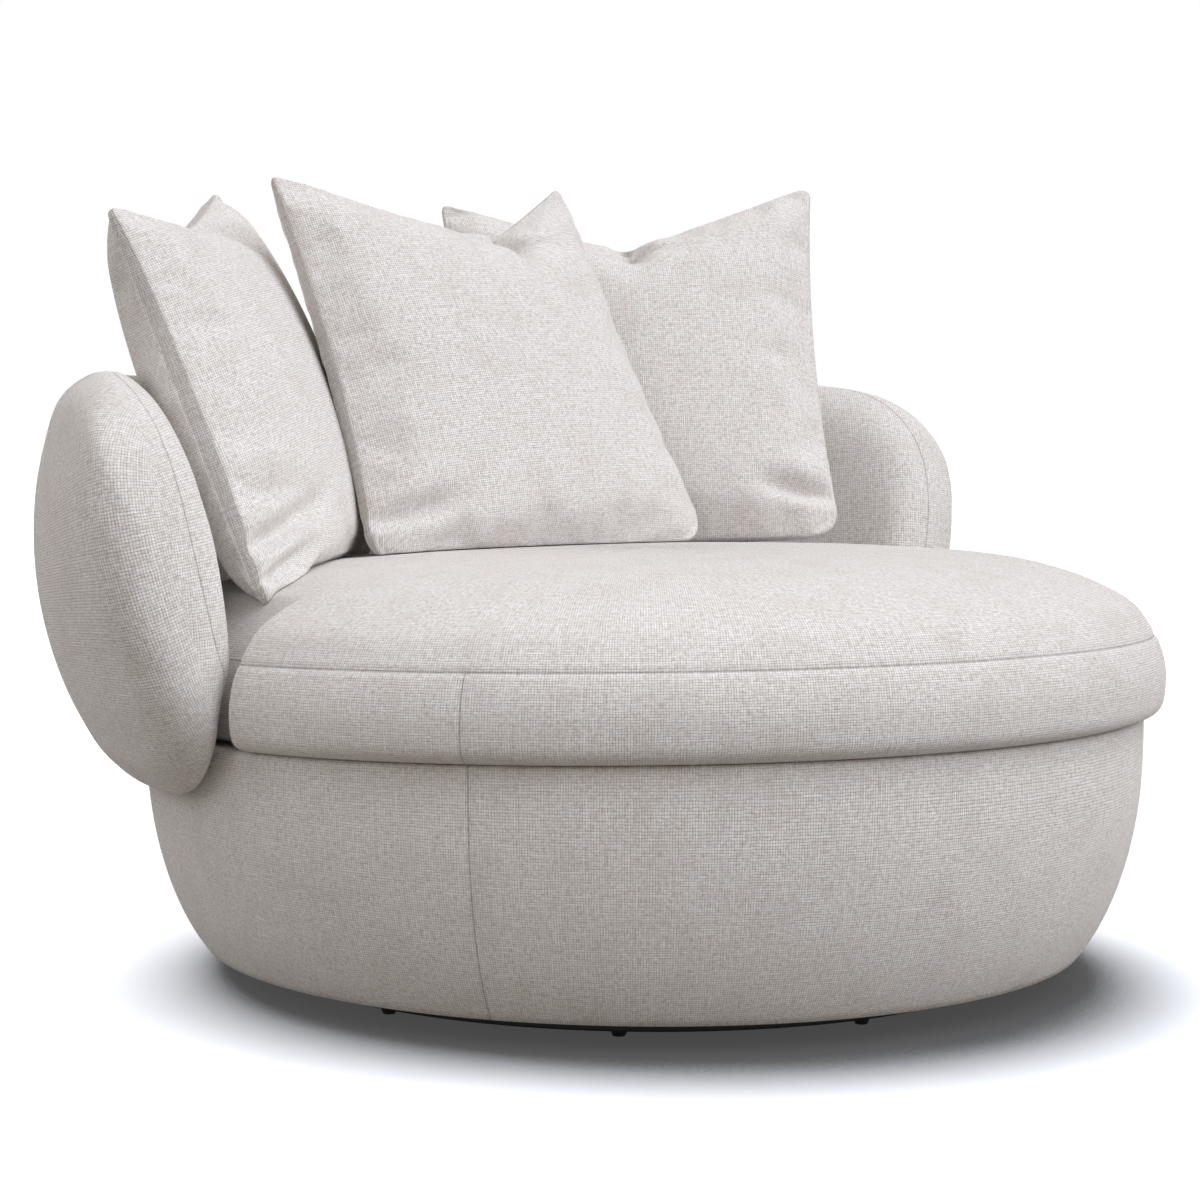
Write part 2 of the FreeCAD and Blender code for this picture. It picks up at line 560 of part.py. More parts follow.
def make_back_frame(parts):
    """Two bent rails, a bent panel and the ribs that are notched to take them."""
    top_out, top_up = FRAME_OUTLINE[6]
    top_end = RIM_HEIGHT + top_up - TOP_RAIL_COVER
    top_inner = BASE_RADIUS + top_out - TOP_RAIL_WIDTH / 2
    panel_inner = BASE_RADIUS + BACK_PANEL_OUT
    panel_bottom = RIM_HEIGHT + BACK_PANEL_UP
    bars = {
        "back_lower_rail": (RAIL_INNER, RAIL_OUTER, RAIL_BOTTOM, RAIL_BOTTOM + RAIL_HEIGHT,
                            FIRST_RIB_ANGLE - RAIL_MARGIN),
        "back_top_rail": (top_inner, top_inner + TOP_RAIL_WIDTH, top_end - TOP_RAIL_HEIGHT, top_end,
                          TOP_RAIL_END),
        "back_inner_panel": (panel_inner, panel_inner + BACK_PANEL_THICKNESS, panel_bottom,
                             panel_bottom + BACK_PANEL_HEIGHT, BACK_PANEL_END),
    }
    for name, (inner, outer, bottom, top, end_angle) in bars.items():
        parts[name] = arc_bar(inner, outer, bottom, top, end_angle)
    notches = Part.makeCompound([
        ring(RAIL_OUTER, BASE_RADIUS, 0, RAIL_BOTTOM + RAIL_HEIGHT),
        ring(top_inner + TOP_RAIL_WIDTH, top_inner, top_end - TOP_RAIL_HEIGHT, TALL),
        ring(panel_inner + BACK_PANEL_THICKNESS, BASE_RADIUS, panel_bottom,
             panel_bottom + BACK_PANEL_HEIGHT)])
    parts["back_ribs"] = Part.makeCompound([back_rib(angle).cut(notches)
                                            for angle in both_sides(RIB_ANGLES)])


def make_bolts(parts):
    """Bolts with their heads sunk in the back's lower rail, through spacer sleeves, into dowels in the
    deck ring."""
    head_seat = RAIL_OUTER - BOLT_HEAD_HEIGHT
    bolts, sleeves = [], []
    for angle in both_sides(BOLT_ANGLES):
        shank = bolt_bar(angle, BOLT_RADIUS, DECK_RADIUS - DOWEL_DEPTH - BOLT_TAIL, head_seat)
        head = bolt_bar(angle, BOLT_HEAD_RADIUS, head_seat, RAIL_OUTER)
        bolts.append(shank.fuse(head))
        sleeve = bolt_bar(angle, SLEEVE_RADIUS, BASE_RADIUS - SKIN_INSET + PIECE_GAP,
                          RAIL_INNER - PIECE_GAP)
        sleeves.append(sleeve.cut(bolt_bar(angle, BOLT_RADIUS + PIECE_GAP, DECK_RADIUS, RAIL_INNER)))
    parts["connector_bolts"] = Part.makeCompound(bolts)
    parts["spacer_sleeves"] = Part.makeCompound(sleeves)
    shank_hole = bolt_bars(BOLT_RADIUS + PIECE_GAP, DECK_RADIUS, RAIL_OUTER)
    head_hole = bolt_bars(BOLT_HEAD_RADIUS + PIECE_GAP, head_seat, RAIL_OUTER + BOLT_HEAD_HEIGHT)
    parts["back_lower_rail"] = parts["back_lower_rail"].cut(shank_hole).cut(head_hole)


def make_back(parts):
    make_back_frame(parts)
    outside = back_solid(BACK_OUTLINE, 0.0, COVER_THICKNESS, NOSE_FLARE)
    inside_cover = back_solid(BACK_OUTLINE, COVER_THICKNESS, 3 * COVER_THICKNESS, NOSE_FLARE)
    frame_room = back_solid(FRAME_OUTLINE, 0.0, FOAM_NOSE)
    sleeve_hole = bolt_bars(SLEEVE_RADIUS + PIECE_GAP, BASE_RADIUS - SKIN_INSET, RAIL_INNER)
    foam = inside_cover.cut(frame_room).cut(parts["back_lower_rail"]).cut(sleeve_hole)
    if foam.Volume < 0:
        foam.reverse()
    parts["back_foam"] = foam
    make_bolts(parts)
    cover = outside.cut(inside_cover).cut(sleeve_hole)
    core = seam_core()
    parts["back_inner_cover"] = cover.common(core)
    parts["back_outer_cover"] = cover.cut(core)


# ---- seat cushion and pillows -------------------------------------------------------------------
def cushion(inset):
    """The seat cushion: full width in front of the arms, stepped in to pass between them."""
    def inside(points):
        squeeze = 1 - 2 * inset / CUSHION_MIDDLE
        return [(BASE_RADIUS + out - inset, inset + up * squeeze) for out, up in points]
    band, crown, side = inside(CUSHION_BAND), inside(CUSHION_CROWN), inside(CUSHION_SIDE)
    crown.append((CUSHION_LEVEL_RADIUS, CUSHION_MIDDLE - inset))
    centre_line = lines([crown[-1], (0, crown[-1][1]), (0, band[0][1]), band[0]])
    whole = revolve([curve(band), curve(crown)] + centre_line)
    step_angle = CUSHION_FRONT_ANGLE - math.degrees(inset / BASE_RADIUS)
    beyond = lines([side[-1], (TALL, side[-1][1]), (TALL, side[0][1]), side[0]])
    surplus = about_z(revolve([curve(side)] + beyond, 360 - 2 * step_angle), step_angle - 90)
    whole = whole.cut(surplus)
    whole.translate(V(0, 0, PIECE_GAP))
    return pitched(whole)


def pillow_point(shape, across, up, face, inset):
    """A point of a pillow's cloth: across and up run from -1 to 1 between its tips, and face is +1 on
    the front and -1 on the back."""
    top_left, top_right, bottom_right, bottom_left = [V(*tip) for tip in shape["tips"]]
    forwards = (bottom_right - top_left).cross(top_right - bottom_left).normalize()
    upwards = (top_left + top_right - bottom_left - bottom_right).normalize()
    from_chop = across - shape["chop_at"]
    beside_chop = from_chop / (1 - math.copysign(shape["chop_at"], from_chop))
    dent = shape["chop"] * max(0.0, 1 - math.hypot(beside_chop, CHOP_ROUNDNESS)) * max(0.0, up) ** 2
    pulled_across = across * (1 - PILLOW_SIDE_PULL * (1 - up ** 2))
    pulled_up = up * (1 - PILLOW_TOP_PULL * (1 - across ** 2)) if up > 0 else up
    margin = 2 * inset / (top_right - top_left).Length
    right_share = (1 + pulled_across * (1 - 2 * margin)) / 2
    top_share = (1 + pulled_up * (1 - 2 * margin)) / 2
    top = top_left + (top_right - top_left) * right_share
    bottom = bottom_left + (bottom_right - bottom_left) * right_share
    fullness = math.sqrt((1 - across ** 2) * (1 - up ** 2))
    return (bottom + (top - bottom) * top_share + forwards * (face * (PILLOW_DEPTH / 2 - inset) * fullness)
            - upwards * dent)


def evenly_knotted(points):
    """A spline through points with one knot at each, so that neighbouring surfaces share their edges."""
    spline = Part.BSplineCurve()
    spline.interpolate(Points=points, Parameters=[float(index) for index in range(len(points))])
    return spline


def cloth(rows):
    """A smooth surface through rows of points."""
    across = [evenly_knotted(row) for row in rows]
    upwards = [evenly_knotted(list(column)) for column in zip(*(curve.getPoles() for curve in across))]
    surface = Part.BSplineSurface()
    surface.buildFromPolesMultsKnots([curve.getPoles() for curve in upwards],
                                     across[0].getMultiplicities(), upwards[0].getMultiplicities(),
                                     across[0].getKnots(), upwards[0].getKnots(), False, False, 3, 3)
    return surface.toShape()


def pillow(shape, inset=0.0):
    """A soft square pillow with drawn-in sides and a chopped top edge, flattened where it rests on the
    seat cushion."""
    steps = range(-PILLOW_KNOT_COUNT, PILLOW_KNOT_COUNT + 1)
    knots = [math.sin(math.pi / 2 * step / PILLOW_KNOT_COUNT) for step in steps]
    sides = [cloth([[pillow_point(shape, across, up, face, inset) for across in knots] for up in knots])
             for face in (1, -1)]
    shell = Part.Shell(sides)
    shell.sewShape()
    solid = Part.Solid(shell)
    if solid.Volume < 0:
        solid.reverse()
    return solid.cut(cushion(-PIECE_GAP - inset))


def make_soft(parts):
    outside, under_cover = cushion(0.0), cushion(CUSHION_COVER)
    core = cushion(CUSHION_COVER + FIBRE_THICKNESS)
    parts["seat_cushion_cover"] = outside.cut(under_cover)
    parts["seat_fibre_wrap"] = under_cover.cut(core)
    parts["seat_foam_core"] = core
    for name, shape in PILLOWS.items():
        insert = pillow(shape, PILLOW_COVER)
        parts[name + "_cover"] = pillow(shape).cut(insert)
        parts[name + "_insert"] = insert


# ---- the whole chair ----------------------------------------------------------------------------
def main():
    os.makedirs("parts", exist_ok=True)
    parts = {}
    make_swivel(parts)
    make_base(parts)
    make_back(parts)
    make_soft(parts)
    for name, shape in parts.items():
        shape.translate(V(0, -AXIS_SHIFT, 0))
        shape.exportStep("parts/%s.step" % name)
        print("%-22s solids %2d valid %s volume %.0f" % (name, len(shape.Solids), shape.isValid(),
                                                         shape.Volume))


main()
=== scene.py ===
"""Looks of the swivel cuddle chair: upholstery, pillows, swivel finishes, studio and camera.

Metres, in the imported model's frame: +Z is up, -Y is the front, and the swivel axis stands at
(0, AXIS_Y). Angles about the axis are measured from the front towards +X.
"""

import json
import logging
import math
from collections.abc import Iterable, Sequence
from dataclasses import dataclass, field
from enum import Enum

import bmesh
import bpy
from mathutils import Matrix, Vector
from mathutils.bvhtree import BVHTree

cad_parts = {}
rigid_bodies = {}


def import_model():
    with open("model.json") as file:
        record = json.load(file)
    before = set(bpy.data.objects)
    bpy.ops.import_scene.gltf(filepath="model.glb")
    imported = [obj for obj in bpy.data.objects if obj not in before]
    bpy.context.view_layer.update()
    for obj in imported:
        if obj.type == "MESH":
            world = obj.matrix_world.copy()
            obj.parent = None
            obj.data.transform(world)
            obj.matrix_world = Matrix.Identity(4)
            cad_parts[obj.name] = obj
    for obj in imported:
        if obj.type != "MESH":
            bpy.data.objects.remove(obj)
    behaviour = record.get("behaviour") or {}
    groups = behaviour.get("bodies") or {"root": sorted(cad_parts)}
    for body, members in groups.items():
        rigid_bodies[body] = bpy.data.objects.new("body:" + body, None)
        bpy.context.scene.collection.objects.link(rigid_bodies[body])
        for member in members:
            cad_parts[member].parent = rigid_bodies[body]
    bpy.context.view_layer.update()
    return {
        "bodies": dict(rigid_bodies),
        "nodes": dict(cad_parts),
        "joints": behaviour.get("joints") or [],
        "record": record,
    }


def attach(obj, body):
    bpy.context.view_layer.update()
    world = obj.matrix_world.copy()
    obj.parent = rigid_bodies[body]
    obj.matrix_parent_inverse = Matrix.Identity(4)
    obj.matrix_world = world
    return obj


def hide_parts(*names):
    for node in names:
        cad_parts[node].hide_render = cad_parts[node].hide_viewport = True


LOG = logging.getLogger("cuddle_chair")

AXIS_Y = -0.053
AXIS = Vector((0.0, AXIS_Y, 0.0))
UP = Vector((0.0, 0.0, 1.0))
MM = 0.001
TINY = 1e-9                    # keeps a division by a length away from zero
SAME_PLACE = 1e-5              # vertices closer than this are merged
ON_AXIS = 1e-4                 # a place nearer to the swivel axis than this has no angle of its own
ABOVE_ALL = 2.0                # a height over every piece
CLOTH_UV = "cloth"
SEAM_LAYER = "from_seam"

# sizes shared by several pieces
RIM_RADIUS = 0.610
RIM_HEIGHT = 0.304
RIM_SLOPE = math.tan(math.radians(1.5))
BASE_SEAMS = (-65.2, 65.2, 180.0)
BESIDE_SEAM = (0.0, 0.12, 0.3, 0.7)  # degrees from an upright seam to the sections on and beside it
SEAM_CLEARANCE = 1.0                 # degrees on each side of a seam without evenly spaced sections

Point = tuple[float, float]
Pair = tuple[float, float]
Triple = tuple[float, float, float]


# ---- small helpers -------------------------------------------------------------------------------
def linear(hex_colour: str) -> tuple[float, float, float, float]:
    """Turn an sRGB hex colour into linear light.

    Args:
        hex_colour: Six hex digits, with or without a leading hash.

    Returns:
        Red, green, blue and an alpha of 1.
    """
    digits = hex_colour.lstrip("#")
    channels = [int(digits[i:i + 2], 16) / 255 for i in (0, 2, 4)]
    red, green, blue = [c / 12.92 if c <= 0.04045 else ((c + 0.055) / 1.055) ** 2.4 for c in channels]
    return red, green, blue, 1.0


def smooth_step(value: float, low: float, high: float) -> float:
    """Ease from 0 at low to 1 at high."""
    share = min(1.0, max(0.0, (value - low) / (high - low)))
    return share * share * (3 - 2 * share)


def axis_angle(place: Vector) -> float:
    """Angle of a point about the swivel axis, from the front towards +X."""
    return math.atan2(place.x, AXIS_Y - place.y)


def axis_radius(place: Vector) -> float:
    """Distance of a point from the swivel axis."""
    return math.hypot(place.x, place.y - AXIS_Y)


def at_angle(radius: float, angle: float, height: float) -> Vector:
    """Point at a radius, angle and height about the swivel axis."""
    return Vector((radius * math.sin(angle), AXIS_Y - radius * math.cos(angle), height))


def rise(place: Vector) -> float:
    """How far the sloping rim plane stands above its height on the axis, at a point."""
    return (AXIS_Y - place.y) * RIM_SLOPE


def smooth_line(points: Sequence[Point], between: int, closed: bool = False) -> list[Point]:
    """Fill in a smooth line through points.

    Args:
        points: The points that the line passes through.
        between: Steps from each point to the next.
        closed: Whether the line joins back to its start.

    Returns:
        The points and those filled in between them.
    """
    count = len(points)
    spans = count if closed else count - 1

    def pick(index: int) -> Vector:
        """Give the point of a number, which may lie past an end.

        Args:
            index: The number.

        Returns:
            The point: come round again on a closed line, straight ahead of an open one's end.
        """
        if closed:
            return Vector(points[index % count])
        if index < 0:
            return 2 * Vector(points[0]) - Vector(points[1])
        if index >= count:
            return 2 * Vector(points[-1]) - Vector(points[-2])
        return Vector(points[index])

    line: list[Point] = []
    for span in range(spans):
        before, start, end, after = (pick(span + step) for step in (-1, 0, 1, 2))
        gap = max((end - start).length, TINY)
        gap_before = max((start - before).length, TINY)
        gap_after = max((after - end).length, TINY)
        lead_in = ((start - before) / gap_before * gap + (end - start) / gap * gap_before)
        lead_in = lead_in / (gap_before + gap) * gap
        lead_out = ((end - start) / gap * gap_after + (after - end) / gap_after * gap)
        lead_out = lead_out / (gap_after + gap) * gap
        for step in range(between):
            t = step / between
            place = ((2 * t ** 3 - 3 * t ** 2 + 1) * start + (t ** 3 - 2 * t ** 2 + t) * lead_in
                     + (3 * t ** 2 - 2 * t ** 3) * end + (t ** 3 - t ** 2) * lead_out)
            line.append((place.x, place.y))
    if not closed:
        line.append(tuple(points[-1]))
    return line


def lengths_along(points: Sequence[Sequence[float]]) -> list[float]:
    """Measure a line from its start to each of its points.

    Args:
        points: The points of the line.

    Returns:
        One length for each point, 0 for the first.
    """
    lengths = [0.0]
    for start, end in zip(points, points[1:]):
        lengths.append(lengths[-1] + math.dist(start, end))
    return lengths


def out_at_height(line: Sequence[Point], height: float) -> float:
    """Find how far out a line lies at a height.

    Args:
        line: Points as distance out and height, from the lowest up.
        height: The height.

    Returns:
        The distance out, which keeps its end values below and above the line.
    """
    if height <= line[0][1]:
        return line[0][0]
    for (x0, y0), (x1, y1) in zip(line, line[1:]):
        if y0 <= height <= y1:
            return x0 + (x1 - x0) * (height - y0) / max(y1 - y0, TINY)
    return line[-1][0]


def put_in_order(bm: bmesh.types.BMesh) -> None:
    """Sort edges and faces by their vertices, so that every run works through them in the same order.

    Args:
        bm: The mesh, of triangles and quads.
    """
    bm.verts.index_update()
    count = len(bm.verts)

    def number(item: bmesh.types.BMEdge | bmesh.types.BMFace) -> float:
        """Give an edge or a face a number of its own, from its two lowest vertices and its highest."""
        numbers = sorted(vert.index for vert in item.verts)
        return float((numbers[0] * count + numbers[1]) * count + numbers[-1])

    bm.edges.sort(key=number)
    bm.faces.sort(key=number)


def to_object(bm: bmesh.types.BMesh, name: str) -> bpy.types.Object:
    """Turn a bmesh into a linked object with smooth shading and free it.

    Args:
        bm: The mesh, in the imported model's frame.
        name: Name of the piece.

    Returns:
        The new object, at the origin.
    """
    put_in_order(bm)
    mesh = bpy.data.meshes.new(name)
    for face in bm.faces:
        face.smooth = True
    bm.to_mesh(mesh)
    bm.free()
    piece = bpy.data.objects.new(name, mesh)
    bpy.context.scene.collection.objects.link(piece)
    return piece


def subdivide(piece: bpy.types.Object) -> None:
    """Round a piece by one level of subdivision, the same on screen and in the render.

    Args:
        piece: The piece.
    """
    modifier = piece.modifiers.new("subdivision", "SUBSURF")
    modifier.levels = 1
    modifier.render_levels = 1
    modifier.use_limit_surface = False


def spin_through(bm: bmesh.types.BMesh, profile: Sequence[Vector], angles: Sequence[float],
                 closed: bool) -> None:
    """Sweep a profile about the swivel axis, one step for each pair of angles.

    Args:
        bm: Mesh that receives the profile. A layer named row gives each vertex its place in the
            profile, and one named spoke the number of its section.
        profile: Points of the profile at angle 0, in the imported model's frame.
        angles: Angles of the sections, in radians.
        closed: Whether the profile joins back to its start.
    """
    row = bm.verts.layers.int.new("row")
    spoke = bm.verts.layers.int.new("spoke")
    verts = []
    for index, place in enumerate(profile):
        vert = bm.verts.new(place)
        vert[row] = index
        verts.append(vert)
    pairs = list(zip(verts, verts[1:])) + ([(verts[-1], verts[0])] if closed else [])
    edges = [bm.edges.new(pair) for pair in pairs]
    bmesh.ops.rotate(bm, cent=AXIS, matrix=Matrix.Rotation(angles[0], 3, "Z"), verts=verts)
    strip: list = verts + edges
    for index, (start, end) in enumerate(zip(angles, angles[1:])):
        made = bmesh.ops.spin(bm, geom=strip, cent=AXIS, axis=UP, dvec=(0, 0, 0),
                              angle=end - start, steps=1)
        strip = made["geom_last"]
        for item in strip:
            if isinstance(item, bmesh.types.BMVert):
                item[spoke] = index + 1


def lay_cloth(bm: bmesh.types.BMesh, along: bmesh.types.BMLayerItem) -> None:
    """Give a turned mesh a cloth map in metres: the arc round the rim, and the way along the profile.

    Args:
        bm: The mesh.
        along: Layer that holds each vertex's distance along the profile.
    """
    uv = bm.loops.layers.uv.new(CLOTH_UV)
    for face in bm.faces:
        near = axis_angle(face.calc_center_median())
        for loop in face.loops:
            loop[uv].uv = (angle_near(loop.vert.co, near) * RIM_RADIUS, loop.vert[along])


def seam_angles(seams: Sequence[float], low: float, high: float, step: float) -> list[float]:
    """Space out the sections of a sweep, with a few more on and beside each seam.

    Args:
        seams: Angles of the upright seams, in degrees.
        low: Angle of the first section, in degrees.
        high: Angle of the last section, in degrees.
        step: Degrees from one section to the next, away from the seams.

    Returns:
        The angles of the sections, in radians.
    """
    count = round((high - low) / step)
    even = [low + (high - low) * index / count for index in range(count + 1)]
    beside = [seam + side * gap for seam in seams for side in (1, -1) for gap in BESIDE_SEAM]
    kept = [angle for angle in even if all(abs(angle - seam) > SEAM_CLEARANCE for seam in seams)
            or angle in (low, high)]
    inside = [angle for angle in beside if low < angle < high]
    return [math.radians(angle) for angle in sorted(set(kept + inside))]


def groove(distance: float, depth: float, width: float) -> float:
    """How deep a sewn line draws the cloth in at a distance from it."""
    return depth * math.exp(-(distance / width) ** 2)


def angle_near(place: Vector, near: float) -> float:
    """Angle of a place about the swivel axis, within half a turn of another angle.

    Args:
        place: The place.
        near: The other angle, which a place on the axis takes over.

    Returns:
        The angle, in radians.
    """
    if axis_radius(place) < ON_AXIS:
        return near
    angle = axis_angle(place)
    return angle + round((near - angle) / math.tau) * math.tau


# ---- finishes ------------------------------------------------------------------------------------
def add_node(tree: bpy.types.NodeTree, kind: str, inputs: dict | None = None,
             **settings: object) -> bpy.types.Node:
    """Add a node, set it up and link it.

    Args:
        tree: The node tree.
        kind: Type name of the node.
        inputs: Values or sockets by input name or index.
        **settings: Properties of the node.

    Returns:
        The new node.
    """
    made = tree.nodes.new(kind)
    for name, value in settings.items():
        setattr(made, name, value)
    for key, value in (inputs or {}).items():
        if isinstance(value, bpy.types.NodeSocket):
            tree.links.new(value, made.inputs[key])
        else:
            made.inputs[key].default_value = value
    return made


def blank_material(name: str) -> tuple[bpy.types.Material, bpy.types.NodeTree]:
    """Make a material with an empty node tree.

    Args:
        name: Name of the material.

    Returns:
        The material and its node tree.
    """
    material = bpy.data.materials.new(name)
    material.use_nodes = True
    material.node_tree.nodes.clear()
    return material, material.node_tree


class Yarn(Enum):
    """The two directions of yarn in a woven cloth."""

    WARP = "up the cloth"
    WEFT = "across the cloth"


@dataclass(frozen=True)
class SlubLinen:
    """Plain-woven linen-look polyester in undyed oatmeal: matt, paler slubs both ways, faint sheen.

    The yarn is bleached and natural fibre twisted together, which gives the eye a fine speckle of
    pale and tan threads rather than one colour.
    """

    name: str = "slub_linen_weave"
    pale: str = "FBF9F8"
    natural: str = "E3DEDA"
    tan: str = "C5B9AF"
    # painted shade for the gaps between threads
    shade: str = "7F7670"
    # painted shade along the seams, and how strongly it darkens the cloth
    seam_shade: str = "6F665F"
    sheen: str = "F4EFE8"
    pitch_mm: float = 2.9          # drawn about twice as coarse as the real yarn, so that it shows
    wander_mm: float = 1.6         # how far a thread strays from its straight line
    wander_size_mm: float = 1000 / 90
    thread_length_mm: float = 9.0
    slub_length_mm: float = 42.0
    slub_width_mm: float = 1.9
    slub_height: float = 0.5       # as a share of a thread's height
    mottle_mm: float = 5.0
    cloud_mm: float = 60.0
    bump_mm: float = 0.42
    seam_mm: Pair = (0.3, 1.4)     # from the seam's line to where its shade starts to fade and is gone
    seam_darkness: float = 0.3
    seam_sink: float = 3.0         # in heights of a thread
    # noise values at which each pattern begins to show and would be full
    thread_limits: Pair = (0.30, 0.70)
    slub_limits: Pair = (0.60, 0.80)
    mottle_limits: Pair = (0.44, 0.95)
    cloud_limits: Pair = (0.45, 1.9)
    streak_offset: Triple = (7.3, 2.1, 0.0)  # moves the streaks away from the noise's own origin

    def make(self) -> bpy.types.Material:
        """Build the material.

        Returns:
            The new material, which reads the cloth map in metres.
        """
        material, tree = blank_material(self.name)
        cloth = add_node(tree, "ShaderNodeUVMap", uv_map=CLOTH_UV).outputs["UV"]
        wander = add_node(tree, "ShaderNodeTexNoise", {"Vector": cloth, "Detail": 2.0,
                                                       "Scale": 1 / (self.wander_size_mm * MM)},
                          noise_dimensions="2D")
        nudge = add_node(tree, "ShaderNodeVectorMath", {0: wander.outputs["Color"],
                                                        "Scale": self.wander_mm * MM}, operation="SCALE")
        place = add_node(tree, "ShaderNodeVectorMath", {0: cloth, 1: nudge.outputs[0]})
        weave, over = self.threads(tree, place.outputs[0])
        slub_size = (self.slub_width_mm, self.slub_length_mm)
        slub_up = self.streaks(tree, cloth, slub_size, Yarn.WARP, self.slub_limits)
        slub_across = self.streaks(tree, cloth, slub_size, Yarn.WEFT, self.slub_limits)
        slubs = add_node(tree, "ShaderNodeMath", {0: slub_up, 1: slub_across}, operation="MAXIMUM")
        plain_colour = self.colour(tree, cloth, weave, over, slubs.outputs[0])
        relief = add_node(tree, "ShaderNodeMath", {0: slubs.outputs[0], 1: self.slub_height, 2: weave},
                          operation="MULTIPLY_ADD")
        colour, height = self.seam(tree, plain_colour, relief.outputs[0])
        bump = add_node(tree, "ShaderNodeBump", {"Height": height, "Strength": 0.8,
                                                 "Distance": self.bump_mm * MM})
        roughness = add_node(tree, "ShaderNodeMapRange", {"Value": weave, "To Min": 0.97, "To Max": 0.84})
        cloth_shader = add_node(tree, "ShaderNodeBsdfPrincipled", {
            "Base Color": colour, "Roughness": roughness.outputs[0], "Normal": bump.outputs[0],
            "Specular IOR Level": 0.25, "Sheen Weight": 0.18, "Sheen Roughness": 0.55,
            "Sheen Tint": linear(self.sheen)})
        add_node(tree, "ShaderNodeOutputMaterial", {"Surface": cloth_shader.outputs[0]})
        return material

    def threads(self, tree: bpy.types.NodeTree,
                place: bpy.types.NodeSocket) -> tuple[bpy.types.NodeSocket, bpy.types.NodeSocket]:
        """Draw warp and weft.

        Args:
            tree: The node tree.
            place: Cloth coordinates in metres.

        Returns:
            The weave's height from 0 to 1, and 1 where the warp lies over the weft.
        """
        phase = add_node(tree, "ShaderNodeVectorMath", {
            0: place, "Scale": math.pi / (self.pitch_mm * MM)}, operation="SCALE")
        axes = add_node(tree, "ShaderNodeSeparateXYZ", {0: phase.outputs[0]})
        warp = add_node(tree, "ShaderNodeMath", {0: axes.outputs[0]}, operation="SINE")
        weft = add_node(tree, "ShaderNodeMath", {0: axes.outputs[1]}, operation="SINE")
        both = add_node(tree, "ShaderNodeMath", {0: warp.outputs[0], 1: weft.outputs[0]},
                        operation="MULTIPLY")
        round_top = add_node(tree, "ShaderNodeMath", {0: both.outputs[0]}, operation="ABSOLUTE")
        weave = add_node(tree, "ShaderNodeMath", {0: round_top.outputs[0], 1: 0.5}, operation="POWER")
        over = add_node(tree, "ShaderNodeMapRange", {"Value": both.outputs[0], "From Min": -0.25,
                                                     "From Max": 0.25})
        return weave.outputs[0], over.outputs[0]

    def streaks(self, tree: bpy.types.NodeTree, place: bpy.types.NodeSocket, size_mm: Pair,
                yarn: Yarn, limits: Pair) -> bpy.types.NodeSocket:
        """Draw stretches of yarn along one direction.

        Args:
            tree: The node tree.
            place: Cloth coordinates in metres.
            size_mm: Width and length of a stretch.
            yarn: Which of the two directions the stretch runs in.
            limits: Noise values that give 0 and 1.

        Returns:
            How strongly a stretch shows, from 0 to 1.
        """
        thin, long = 1 / (size_mm[0] * MM), 1 / (size_mm[1] * MM)
        scale = (thin, long, 1.0) if yarn is Yarn.WARP else (long, thin, 1.0)
        stretched = add_node(tree, "ShaderNodeMapping", {"Vector": place, "Scale": scale,
                                                         "Location": self.streak_offset})
        noises = add_node(tree, "ShaderNodeTexNoise", {"Vector": stretched.outputs[0], "Scale": 1.0,
                                                       "Detail": 1.5}, noise_dimensions="2D")
        picked = add_node(tree, "ShaderNodeMapRange", {"Value": noises.outputs[0], "From Min": limits[0],
                                                       "From Max": limits[1]})
        return picked.outputs[0]

    def colour(self, tree: bpy.types.NodeTree, place: bpy.types.NodeSocket,
               weave: bpy.types.NodeSocket, over: bpy.types.NodeSocket,
               slubs: bpy.types.NodeSocket) -> bpy.types.NodeSocket:
        """Mix the yarn colours, and darken the gaps between threads with painted shade.

        Args:
            tree: The node tree.
            place: Cloth coordinates in metres.
            weave: Height of the weave.
            over: Where the warp is on top.
            slubs: Where the yarn is thick.

        Returns:
            The colour socket.
        """
        def blend(factor: object, under: object, top: object) -> bpy.types.NodeSocket:
            """Lay one colour over another.

            Args:
                factor: How much of the top colour shows, a number or a socket.
                under: The colour below, a value or a socket.
                top: The colour above, a value or a socket.

            Returns:
                The mixed colour.
            """
            mixed = add_node(tree, "ShaderNodeMix", {"Factor": factor, "A": under, "B": top},
                             data_type="RGBA")
            return mixed.outputs["Result"]

        def spots(size_mm: float, limits: Pair) -> bpy.types.NodeSocket:
            """Draw soft spots of one size.

            Args:
                size_mm: Size of a spot.
                limits: Noise values that give 0 and 1.

            Returns:
                How strongly a spot shows, from 0 to 1.
            """
            drawn = add_node(tree, "ShaderNodeTexNoise", {"Vector": place, "Scale": 1 / (size_mm * MM),
                                                          "Detail": 3.0}, noise_dimensions="2D")
            shown = add_node(tree, "ShaderNodeMapRange", {"Value": drawn.outputs[0],
                                                          "From Min": limits[0], "From Max": limits[1]})
            return shown.outputs[0]

        thread_size = (self.pitch_mm, self.thread_length_mm)
        warp = self.streaks(tree, place, thread_size, Yarn.WARP, self.thread_limits)
        weft = self.streaks(tree, place, thread_size, Yarn.WEFT, self.thread_limits)
        tone = add_node(tree, "ShaderNodeMix", {"Factor": over, "A": weft, "B": warp})
        yarns = blend(tone.outputs[0], linear(self.natural), linear(self.pale))
        mottled = blend(spots(self.mottle_mm, self.mottle_limits), yarns, linear(self.tan))
        clouded = blend(spots(self.cloud_mm, self.cloud_limits), mottled, linear(self.tan))
        slubbed = blend(slubs, clouded, linear(self.pale))
        # painted shade: the low places of the weave, between the threads, are darkened towards the shade
        # colour
        gaps = add_node(tree, "ShaderNodeMapRange", {"Value": weave, "From Min": 0.0, "From Max": 0.55,
                                                     "To Min": 0.85, "To Max": 0.0})
        return blend(gaps.outputs[0], slubbed, linear(self.shade))

